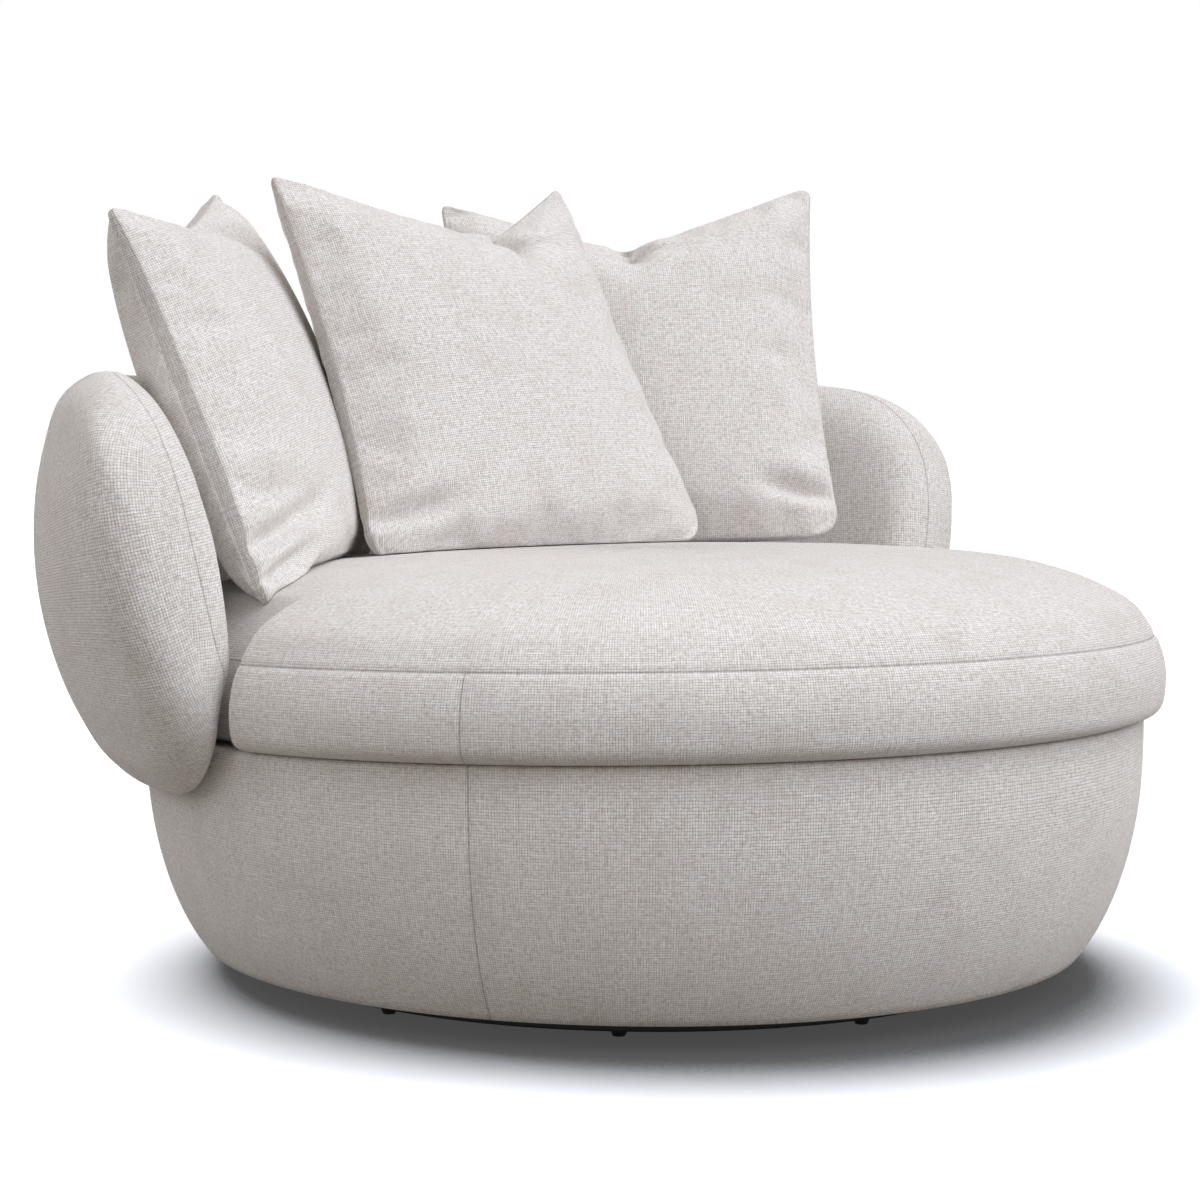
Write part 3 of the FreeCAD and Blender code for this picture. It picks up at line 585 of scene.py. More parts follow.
    def seam(self, tree: bpy.types.NodeTree, colour: bpy.types.NodeSocket,
             height: bpy.types.NodeSocket) -> tuple[bpy.types.NodeSocket, bpy.types.NodeSocket]:
        """Draw a plain sewn seam where the seam attribute passes through one: a sunk line, with painted
        shade along it.

        Args:
            tree: The node tree.
            colour: The cloth's colour.
            height: The cloth's height.

        Returns:
            Colour and height with the seam in them.
        """
        layer = add_node(tree, "ShaderNodeAttribute", attribute_name=SEAM_LAYER)
        away = add_node(tree, "ShaderNodeMath", {0: layer.outputs["Fac"]}, operation="ABSOLUTE")
        line = add_node(tree, "ShaderNodeMapRange", {
            "Value": away.outputs[0], "From Min": self.seam_mm[0] * MM, "From Max": self.seam_mm[1] * MM,
            "To Min": 1.0, "To Max": 0.0}, interpolation_type="SMOOTHSTEP")
        # painted shade: the cloth is darkened along the seam's line, where its crease would fall in shadow
        dark = add_node(tree, "ShaderNodeMath", {0: line.outputs[0], 1: self.seam_darkness},
                        operation="MULTIPLY")
        shaded = add_node(tree, "ShaderNodeMix", {"Factor": dark.outputs[0], "A": colour,
                                                  "B": linear(self.seam_shade)}, data_type="RGBA")
        sunk = add_node(tree, "ShaderNodeMath", {0: line.outputs[0], 1: -self.seam_sink, 2: height},
                        operation="MULTIPLY_ADD")
        return shaded.outputs["Result"], sunk.outputs[0]


@dataclass(frozen=True)
class HardFinish:
    """A hard or foamy surface with a fine mottled colour and a slight texture."""

    name: str
    colour: str
    second: str
    roughness: float = 0.5
    metallic: float = 0.0
    grain_mm: Pair = (3.0, 3.0)
    bump_mm: float = 0.05
    specular: float = 0.5
    roughness_spread: float = 0.06

    def make(self) -> bpy.types.Material:
        """Build the material.

        Returns:
            The new material, which reads object coordinates.
        """
        material, tree = blank_material(self.name)
        where = add_node(tree, "ShaderNodeTexCoord").outputs["Object"]
        fine, coarse = self.grain_mm
        stretched = add_node(tree, "ShaderNodeMapping", {
            "Vector": where, "Scale": (1 / (fine * MM), 1 / (coarse * MM), 1 / (fine * MM))})
        spots = add_node(tree, "ShaderNodeTexNoise", {"Vector": stretched.outputs[0], "Scale": 1.0,
                                                      "Detail": 4.0})
        colour = add_node(tree, "ShaderNodeMix", {"Factor": spots.outputs[0], "A": linear(self.colour),
                                                  "B": linear(self.second)}, data_type="RGBA")
        rough = add_node(tree, "ShaderNodeMapRange", {"Value": spots.outputs[0],
                                                      "To Min": self.roughness - self.roughness_spread,
                                                      "To Max": self.roughness + self.roughness_spread})
        bump = add_node(tree, "ShaderNodeBump", {"Height": spots.outputs[0], "Strength": 0.6,
                                                 "Distance": self.bump_mm * MM})
        shader = add_node(tree, "ShaderNodeBsdfPrincipled", {
            "Base Color": colour.outputs["Result"], "Roughness": rough.outputs[0],
            "Metallic": self.metallic, "Specular IOR Level": self.specular,
            "Normal": bump.outputs[0]})
        add_node(tree, "ShaderNodeOutputMaterial", {"Surface": shader.outputs[0]})
        return material


# black lacquer brushed over plywood: nearly even, dull, with a trace of brush grain
PLINTH_PAINT = HardFinish("black_lacquer_on_plywood", "0B0B0D", "16161A", 0.55, grain_mm=(2.0, 14.0))
# injection-moulded nylon: dark, slightly waxy
GLIDE_NYLON = HardFinish("moulded_black_nylon", "101113", "1A1B1D", 0.42, grain_mm=(1.0, 1.0))
# the same nylon without dye: milky ivory
CAGE_NYLON = HardFinish("moulded_natural_nylon", "D9D4C4", "E4E0D2", 0.45, grain_mm=(2.0, 2.0))
# zinc-plated pressed steel: cool, softly bright, faint bluish patches
RACE_STEEL = HardFinish("zinc_plated_steel", "B9BDC2", "A6ABB3", 0.32, 1.0, (6.0, 6.0), 0.02)
# hardened steel, ground and polished: a dark, clear mirror
BALL_STEEL = HardFinish("polished_bearing_steel", "C9CBCE", "C0C3C7", 0.12, 1.0, (4.0, 4.0), 0.0)
# birch plywood: pale yellow wood with long fine figure
BIRCH_PLY = HardFinish("birch_plywood", "D8BE95", "C5A57A", 0.62, grain_mm=(2.5, 60.0), bump_mm=0.08)
# cut polyurethane foam: cream, open-celled, fully matt
CUT_FOAM = HardFinish("cut_polyurethane_foam", "E9DDB9", "DCCB9F", 0.95, grain_mm=(1.6, 1.6),
                      bump_mm=0.5, specular=0.2)
# needled felt: matted grey-white fibres, fully matt
FELTED_PAD = HardFinish("needled_felt_pad", "C9C6C0", "AFABA4", 0.96, grain_mm=(1.2, 1.2), bump_mm=0.4,
                        specular=0.2)
# woven rubber webbing: buff with a darker rib
WEBBING = HardFinish("woven_elastic_webbing", "8E7C66", "5F5245", 0.88, grain_mm=(2.0, 2.0), bump_mm=0.4)
# spun-bonded cloth under the seat: black, faintly fibrous
DUST_CLOTH = HardFinish("spun_bonded_cloth", "121214", "232326", 0.92, grain_mm=(0.9, 0.9), bump_mm=0.2)


def dress(piece: bpy.types.Object, material: bpy.types.Material) -> None:
    """Give a piece one material."""
    piece.data.materials.clear()
    piece.data.materials.append(material)


def upright_seam_distance(place: Vector, seams: Sequence[float]) -> float:
    """Measure round the swivel axis from a place to the nearest upright seam.

    Args:
        place: The place.
        seams: Angles of the seams, in degrees.

    Returns:
        The distance, in metres.
    """
    angle = axis_angle(place)
    gaps = [abs((angle - math.radians(seam) + math.pi) % math.tau - math.pi) for seam in seams]
    return min(gaps) * axis_radius(place)


# ---- base ----------------------------------------------------------------------------------------
@dataclass
class BowlBase:
    """The upholstered bowl under the seat cushion, with its deck, seams and turned-under hem."""

    widest_height: float = 0.280
    reach: float = 0.150
    depth: float = 0.294
    hem_height: float = 0.030
    hem_top: float = 0.0352
    hem_turn: float = 0.024
    hem_flange: float = 0.020
    hem_round: Pair = (0.006, 0.0012)       # inwards and down
    rim_round: float = 0.007
    rim_steps: int = 4
    deck_radii: tuple[float, ...] = (0.0, 0.2, 0.4, 0.55)
    spoke_step: float = 1.5
    rows: int = 30
    cloth_thickness: float = 0.002
    slope_blend: float = 0.060              # from the widest place down, where the rim's slope runs out
    seam_hollow: Pair = (0.0013, 0.012)     # depth and width
    seam_groove: Pair = (0.0007, 0.0018)

    def side_radius(self, height: float) -> float:
        """Radius of the bowl's side at a height."""
        drop = max(0.0, self.widest_height - height) / self.depth
        return RIM_RADIUS - self.reach + self.reach * math.sqrt(1 - drop * drop)

    def profile(self) -> list[Point]:
        """Radius and height from the middle of the deck, over the rim and down to the hem.

        Returns:
            The points of the half section.
        """
        deck = [(radius, RIM_HEIGHT) for radius in self.deck_radii]
        turns = [math.pi / 2 * step / self.rim_steps for step in range(self.rim_steps + 1)]
        corner = [(RIM_RADIUS - self.rim_round + self.rim_round * math.sin(turn),
                   RIM_HEIGHT - self.rim_round + self.rim_round * math.cos(turn)) for turn in turns]
        drop = corner[-1][1] - self.hem_height
        side = []
        for step in range(1, self.rows + 1):
            height = corner[-1][1] - drop * step / self.rows
            side.append((self.side_radius(height), height))
        foot = side[-1][0]
        hem = [(foot - self.hem_round[0], self.hem_height - self.hem_round[1]),
               (foot - self.hem_turn, self.hem_top),
               (foot - self.hem_turn - self.hem_flange, self.hem_top)]
        return deck + corner + side + hem

    def build(self) -> bpy.types.Object:
        """Spin the bowl, slope its rim and sew its upright seams.

        Returns:
            The finished piece.
        """
        bm = bmesh.new()
        points = self.profile()
        profile = [at_angle(radius, 0.0, height) for radius, height in points]
        spin_through(bm, profile, seam_angles(BASE_SEAMS, -180.0, 180.0, self.spoke_step), closed=False)
        row = bm.verts.layers.int["row"]
        along = bm.verts.layers.float.new("along")
        seam_layer = bm.verts.layers.float.new(SEAM_LAYER)
        distances = lengths_along(points)
        for vert in bm.verts:
            vert[along] = distances[vert[row]]
        bmesh.ops.remove_doubles(bm, verts=bm.verts, dist=SAME_PLACE)
        bmesh.ops.recalc_face_normals(bm, faces=bm.faces)
        for vert in bm.verts:
            share = smooth_step(vert.co.z, self.widest_height - self.slope_blend,
                                RIM_HEIGHT - self.rim_round)
            vert.co.z += rise(vert.co) * share
            vert[seam_layer] = upright_seam_distance(vert.co, BASE_SEAMS)
            self.pinch(vert, vert[seam_layer])
        lay_cloth(bm, along)
        piece = to_object(bm, "base_cover_sewn")
        wall = piece.modifiers.new("cloth", "SOLIDIFY")
        wall.thickness = self.cloth_thickness
        wall.offset = -1
        return piece

    def pinch(self, vert: bmesh.types.BMVert, distance: float) -> None:
        """Draw the cloth in along an upright seam: a soft hollow and a narrow groove.

        Args:
            vert: A vertex of the cover.
            distance: Its distance from the nearest seam.
        """
        if vert.co.z > RIM_HEIGHT or vert.co.z < self.hem_height:
            return
        inwards = Vector((-vert.co.x, AXIS_Y - vert.co.y, 0)).normalized()
        vert.co += inwards * (groove(distance, *self.seam_hollow) + groove(distance, *self.seam_groove))


# ---- seat cushion --------------------------------------------------------------------------------
@dataclass
class SeatCushion:
    """The domed, boxed seat cushion, full width in front and narrower between the arms."""

    band: tuple[Point, ...] = ((-0.004, 0.0), (0.018, 0.009), (0.025, 0.038), (0.021, 0.074),
                               (0.012, 0.097))
    crown: tuple[Point, ...] = ((0.012, 0.097), (-0.012, 0.131), (-0.057, 0.158), (-0.130, 0.183),
                                (-0.270, 0.200), (-0.450, 0.2055), (-0.610, 0.206))
    side: tuple[Point, ...] = ((-0.043, -0.030), (-0.043, 0.0), (-0.021, 0.009), (-0.0145, 0.038),
                               (-0.019, 0.074), (-0.034, 0.110), (-0.062, 0.150), (-0.100, 0.190))
    underside: tuple[float, ...] = (-0.4, -0.2, -0.08, -0.03)
    band_steps: int = 5
    crown_steps: int = 7
    side_steps: int = 6
    spoke_step: float = 1.5
    step_start: float = 92.9
    step_end: float = 93.7
    # sections beside the middle of a step, and how far off the even ones begin, in widths of the step
    step_places: tuple[float, ...] = (-4, -2.2, -1.3, -0.8, -0.5, -0.3, -0.1, 0.1, 0.3, 0.5, 0.9, 2, 4)
    step_clearance: float = 4.5
    lift: float = 0.0003
    boxing_dip: Pair = (0.003, 0.0008)      # inwards and down
    joint_hollow: Pair = (0.0010, 0.009)    # depth and width
    joint_groove: Pair = (0.0006, 0.0016)
    puckers: tuple[float, ...] = (-47.0, -44.5, -41.0, -38.5, -36.0, -33.0)
    pucker_size: Pair = (0.0016, 0.45)      # depth in metres, width in degrees
    pucker_heights: Pair = (0.008, 0.040)   # full below the first, gone above the second

    def angles(self) -> list[float]:
        """Space out the sections, close together at the seams and at the two steps.

        Returns:
            The angles, in radians.
        """
        middle, span = (self.step_start + self.step_end) / 2, self.step_end - self.step_start
        steps = [side * (middle + place * span) for side in (1, -1) for place in self.step_places]
        even = [angle for angle in seam_angles(BASE_SEAMS[:2], -180.0, 180.0, self.spoke_step)
                if abs(abs(math.degrees(angle)) - middle) > self.step_clearance * span]
        return sorted(even + [math.radians(angle) for angle in steps])

    def step_in(self, angle: float) -> float:
        """How far a section has stepped in, from 0 in front to 1 between the arms."""
        return smooth_step(abs(math.degrees(angle)), self.step_start, self.step_end)

    def build(self) -> bpy.types.Object:
        """Sweep the section round, step it in between the arms and sew the boxing seams.

        Returns:
            The finished piece.
        """
        band = smooth_line(self.band, self.band_steps)
        crown = smooth_line(self.crown, self.crown_steps)
        below = [(out, 0.0) for out in (-RIM_RADIUS, *self.underside)]
        dip = (crown[0][0] - self.boxing_dip[0], crown[0][1] - self.boxing_dip[1])
        line = below + band[:-1] + [dip] + crown[1:]
        seam_row = len(below) + len(band) - 1
        side = smooth_line(self.side, self.side_steps)
        bm = bmesh.new()
        profile = [at_angle(RIM_RADIUS + out, 0.0, RIM_HEIGHT + up) for out, up in line]
        spin_through(bm, profile, self.angles(), closed=False)
        row = bm.verts.layers.int["row"]
        along = bm.verts.layers.float.new("along")
        seam_layer = bm.verts.layers.float.new(SEAM_LAYER)
        distances = lengths_along(line)
        for vert in bm.verts:
            out, up = line[vert[row]]
            vert[along] = distances[vert[row]]
            angle = axis_angle(vert.co)
            limit = out_at_height(side, up) if vert[row] >= len(below) else self.side[0][0]
            radius = RIM_RADIUS + out + (min(out, limit) - out) * self.step_in(angle)
            flat = at_angle(max(radius, 0.0), angle, RIM_HEIGHT + self.lift + up)
            flat.z += rise(flat)
            vert.co = flat
            from_boxing = abs(distances[vert[row]] - distances[seam_row])
            vert[seam_layer] = from_boxing
            if len(below) < vert[row] <= seam_row:
                from_joint = upright_seam_distance(flat, BASE_SEAMS[:2])
                vert[seam_layer] = min(from_boxing, from_joint)
                inwards = Vector((-flat.x, AXIS_Y - flat.y, 0)).normalized()
                drawn = groove(from_joint, *self.joint_hollow) + groove(from_joint, *self.joint_groove)
                vert.co += inwards * (drawn + self.pucker(math.degrees(angle), up))
        bmesh.ops.remove_doubles(bm, verts=bm.verts, dist=SAME_PLACE)
        bmesh.ops.recalc_face_normals(bm, faces=bm.faces)
        lay_cloth(bm, along)
        piece = to_object(bm, "seat_cushion_sewn")
        subdivide(piece)
        return piece

    def pucker(self, angle: float, up: float) -> float:
        """How far small gathers draw in the band's lower edge."""
        low = 1 - smooth_step(up, *self.pucker_heights)
        return low * sum(groove(angle - place, *self.pucker_size) for place in self.puckers)


# ---- back ----------------------------------------------------------------------------------------
@dataclass
class WrapBack:
    """The thick back that wraps round the rear and ends in two rounded arms."""

    tip_angle: float = 94.2
    top_length: float = 0.305
    bottom_length: float = 0.150
    side_length: float = 0.056
    top_fullness: float = 3.8
    fullness: float = 2.4
    flare: float = 0.070
    nose_height: float = 0.397
    midline_radius: float = 0.669
    midline_height: float = 0.551
    midline_curve: float = 0.35
    outline: tuple[Point, ...] = (
        (0.012, -0.060), (0.046, -0.039), (0.079, 0.010), (0.113, 0.094), (0.131, 0.213),
        (0.119, 0.326), (0.093, 0.393), (0.047, 0.417), (0.008, 0.391), (-0.013, 0.306),
        (-0.016, 0.208), (-0.009, 0.090), (0.003, -0.002), (0.0055, -0.042))
    bottom_seam: int = 0
    top_seam: int = 7
    outer_level: int = 3
    inner_level: int = 11
    between: int = 5
    seam_gap: float = 0.3
    seam_inwards: float = 0.030
    seam_turn: float = 0.16
    seam_blend: float = 0.020               # above and below the nose, where one seam takes over
    seam_hollow: Pair = (0.0014, 0.008)     # depth and width
    seam_groove: Pair = (0.0007, 0.0017)
    flare_falloff: float = 1.5
    tip_distances: tuple[float, ...] = (
        0.0, 1e-6, 1e-5, 5e-5, 0.0002, 0.0006, 0.0016, 0.0032, 0.0055, 0.0085, 0.012, 0.0165, 0.0225,
        0.030, 0.039, 0.050)
    rear_sections: int = 80
    same_place: float = 1e-6                # the first sections lie closer together than SAME_PLACE

    def share(self, distance: float, length: float, fullness: float) -> float:
        """How full the rounded end is at a distance from its tip."""
        reach = min(1.0, max(0.0, distance / length))
        return (1 - (1 - reach) ** fullness) ** (1 / fullness)

    def midline(self, height: float) -> float:
        """Radius of the middle of the back's thickness at a height."""
        return self.midline_radius - self.midline_curve * (height - self.midline_height) ** 2

    def distances(self) -> list[float]:
        """Space out the sections from an arm's tip to the rear, close together at the tip.

        Returns:
            The distances from the tip.
        """
        last = self.tip_distances[-1]
        left = math.radians(180 - self.tip_angle) * self.midline_radius - last
        rear = [last + left * (step + 1) / self.rear_sections for step in range(self.rear_sections)]
        return list(self.tip_distances) + rear

    def section(self) -> tuple[list[Point], dict[int, int]]:
        """The full section, with a point close on each side of its two seams.

        Returns:
            The points, and the row of each outline point among them.
        """
        outline = [(RIM_RADIUS + out, RIM_HEIGHT + up) for out, up in self.outline]
        line = smooth_line(outline, self.between, closed=True)
        points: list[Point] = []
        rows: dict[int, int] = {}
        for index, place in enumerate(line):
            after = line[(index + 1) % len(line)]
            if index % self.between == 0:
                rows[index // self.between] = len(points)
            points.append(place)
            seams = [seam * self.between for seam in (self.bottom_seam, self.top_seam)]
            if index in seams:
                points.append(tuple(Vector(place).lerp(Vector(after), self.seam_gap)))
            if (index + 1) % len(line) in seams:
                points.append(tuple(Vector(after).lerp(Vector(place), self.seam_gap)))
        return points, rows

    def build(self) -> bpy.types.Object:
        """Sweep the section from arm to arm, round off both noses and sew the seam along their ridge.

        Returns:
            The finished piece.
        """
        section, rows = self.section()
        tip = math.radians(self.tip_angle)
        half = self.distances()
        angles = [tip + distance / self.midline_radius for distance in half]
        angles += [math.tau - angle for angle in reversed(angles[:-1])]
        from_tip = half + list(reversed(half[:-1]))
        bm = bmesh.new()
        profile = [at_angle(radius, 0.0, height) for radius, height in section]
        spin_through(bm, profile, angles, closed=True)
        row, spoke = bm.verts.layers.int["row"], bm.verts.layers.int["spoke"]
        seam_layer = bm.verts.layers.float.new(SEAM_LAYER)
        places = [[self.placed(point, distance) for point in section] for distance in from_tip]
        seams = [section[rows[seam]] for seam in (self.bottom_seam, self.top_seam)]
        seam_offsets = [radius - self.midline(height) for radius, height in seams]
        for vert in bm.verts:
            radius, height, offset = places[vert[spoke]][vert[row]]
            vert.co = at_angle(radius, angles[vert[spoke]], height)
            upper = smooth_step(height, self.nose_height - self.seam_blend,
                                self.nose_height + self.seam_blend)
            middle = seam_offsets[0] + (seam_offsets[1] - seam_offsets[0]) * upper
            side = self.share(from_tip[vert[spoke]], self.side_length, self.fullness)
            inwards = self.seam_inwards * (1 - smooth_step(from_tip[vert[spoke]], 0.0, self.seam_turn))
            vert[seam_layer] = offset - middle * side + inwards
        seam_rows = (rows[self.bottom_seam], rows[self.top_seam])
        for edge in bm.edges:
            start, end = edge.verts
            edge.seam = start[row] == end[row] and start[row] in seam_rows
        bm.loops.layers.uv.new(CLOTH_UV)
        bmesh.ops.remove_doubles(bm, verts=bm.verts, dist=self.same_place)
        bmesh.ops.recalc_face_normals(bm, faces=bm.faces)
        bm.normal_update()
        for vert in bm.verts:
            drawn = (groove(vert[seam_layer], *self.seam_hollow)
                     + groove(vert[seam_layer], *self.seam_groove))
            vert.co -= vert.normal * drawn
        piece = to_object(bm, "back_cover_sewn")
        self.lay_panels(piece, len(angles) // 2, rows)
        subdivide(piece)
        return piece

    def placed(self, point: Point, distance: float) -> tuple[float, float, float]:
        """Shrink a point of the full section towards the tip of an arm.

        Args:
            point: Radius and height in the full section.
            distance: Distance from the arm's tip.

        Returns:
            The radius, the height and the offset from the middle of the thickness.
        """
        radius, height = point
        rise_here = height - self.nose_height
        if rise_here > 0:
            new_height = self.nose_height + rise_here * self.share(distance, self.top_length,
                                                                   self.top_fullness)
        else:
            new_height = self.nose_height + rise_here * self.share(distance, self.bottom_length,
                                                                   self.fullness)
        offset = (radius - self.midline(height)) * self.share(distance, self.side_length, self.fullness)
        near = max(0.0, 1 - distance / self.top_length) ** self.flare_falloff
        full_rise = RIM_HEIGHT + self.outline[self.top_seam][1] - self.nose_height
        lean = self.flare * near * max(0.0, new_height - self.nose_height) / full_rise
        return self.midline(new_height) + lean + offset, new_height, offset

    def lay_panels(self, piece: bpy.types.Object, middle: int, rows: dict[int, int]) -> None:
        """Unfold the inner and the outer panel, each with its threads level and upright at the rear.

        Args:
            piece: The cover, with its seams marked.
            middle: Number of the rear section.
            rows: Row of each outline point.
        """
        bpy.context.view_layer.objects.active = piece
        bpy.ops.object.mode_set(mode="EDIT")
        bpy.ops.mesh.select_all(action="SELECT")
        bpy.ops.uv.unwrap(method="ANGLE_BASED")
        bpy.ops.object.mode_set(mode="OBJECT")
        bm = bmesh.new()
        bm.from_mesh(piece.data)
        row, spoke = bm.verts.layers.int["row"], bm.verts.layers.int["spoke"]
        uv = bm.loops.layers.uv[CLOTH_UV]
        # rows run up the outer panel and down the inner one
        for level, step in ((self.outer_level, 1), (self.inner_level, -1)):
            low, high = (next(vert for vert in bm.verts if vert[spoke] == middle and vert[row] == place)
                         for place in (rows[level], rows[level] + 2 * step))
            panel = self.panel(low.link_faces[0])
            start, end = low.link_loops[0][uv].uv.copy(), high.link_loops[0][uv].uv.copy()
            sewn = sum(face.calc_area() for face in panel)
            drawn = sum(self.flat_area([loop[uv].uv for loop in face.loops]) for face in panel)
            scale = math.sqrt(sewn / drawn)
            up = (end - start).normalized()
            right = Vector((up.y, -up.x))
            for face in panel:
                for loop in face.loops:
                    away = loop[uv].uv - start
                    loop[uv].uv = (scale * away.dot(right), scale * away.dot(up))
        bm.to_mesh(piece.data)
        bm.free()

    def panel(self, first: bmesh.types.BMFace) -> set[bmesh.types.BMFace]:
        """Find all faces of a panel, up to its seams.

        Args:
            first: One face of the panel.

        Returns:
            All its faces.
        """
        found, waiting = {first}, [first]
        while waiting:
            for edge in waiting.pop().edges:
                if not edge.seam:
                    fresh = set(edge.link_faces) - found
                    found |= fresh
                    waiting.extend(fresh)
        return found

    def flat_area(self, corners: Sequence[Vector]) -> float:
        """Area of a face on the cloth map."""
        ends = list(corners[1:]) + [corners[0]]
        return abs(sum(start.x * end.y - end.x * start.y for start, end in zip(corners, ends))) / 2


# ---- pillows -------------------------------------------------------------------------------------
SETTLING_FRAMES = 20
CREASE_FADE_IN = (-0.35, 0.15)  # where a fold begins and is full, in shares of its length
CREASE_FADE_OUT = (0.55, 1.3)   # where it begins to fade and is gone


class Side(Enum):
    """The two sides of a pillow, with the sign of their direction."""

    FRONT = 1
    BACK = -1


def settle_as_cloth(piece: bpy.types.Object, held: Sequence[int], spare: float, most: float) -> None:
    """Let a filled bag swell and settle as cloth, and keep the result in its mesh.

    Args:
        piece: The bag.
        held: Numbers of the vertices that stay where they are.
        spare: Share by which the cloth is larger than the bag, which gives it its creases.
        most: The furthest that a point may move, in metres.
    """
    group = piece.vertex_groups.new(name="held")
    group.add(list(held), 1.0, "REPLACE")
    settling = piece.modifiers.new("settling", "CLOTH")
    cloth = settling.settings
    cloth.quality = 5
    cloth.mass = 0.3
    cloth.tension_stiffness = 15.0
    cloth.compression_stiffness = 15.0
    cloth.shear_stiffness = 5.0
    cloth.bending_stiffness = 2.0
    cloth.shrink_min = -spare
    cloth.use_pressure = True
    cloth.uniform_pressure_force = 4.0
    cloth.vertex_group_mass = group.name
    cloth.effector_weights.gravity = 0.0
    settling.collision_settings.use_collision = False
    settling.point_cache.frame_start = 1
    settling.point_cache.frame_end = SETTLING_FRAMES
    for frame in range(1, SETTLING_FRAMES + 1):
        bpy.context.scene.frame_set(frame)
    settled = piece.evaluated_get(bpy.context.evaluated_depsgraph_get()).data
    places = [vert.co.copy() for vert in settled.vertices]
    for vert, place in zip(piece.data.vertices, places):
        shift = place - vert.co
        vert.co += shift * min(1.0, most / max(shift.length, TINY))
    piece.modifiers.remove(settling)
    piece.vertex_groups.remove(group)
    bpy.context.scene.frame_set(1)


@dataclass(frozen=True)
class Crease:
    """A fold in a pillow's front, from one place to another, in shares of the half width and height."""

    start: Point
    end: Point
    depth: float
    width: float

    def drawn(self, across: float, up: float) -> float:
        """Work out how far the fold draws the cloth in at a place.

        Args:
            across: Share of the half width, from -1 to 1.
            up: Share of the half height, from -1 to 1.

        Returns:
            The depth there, in metres.
        """
        run_x, run_y = self.end[0] - self.start[0], self.end[1] - self.start[1]
        length = math.hypot(run_x, run_y)
        along = ((across - self.start[0]) * run_x + (up - self.start[1]) * run_y) / length ** 2
        aside = ((across - self.start[0]) * run_y - (up - self.start[1]) * run_x) / length
        ends = smooth_step(along, *CREASE_FADE_IN) * (1 - smooth_step(along, *CREASE_FADE_OUT))
        return groove(aside, self.depth * ends, self.width)


@dataclass(frozen=True)
class PillowShape:
    """Where a pillow's tips are about the swivel axis, how its top is chopped and how it folds."""

    tips: tuple[Triple, ...]
    chop: float
    chop_at: float
    creases: tuple[Crease, ...]


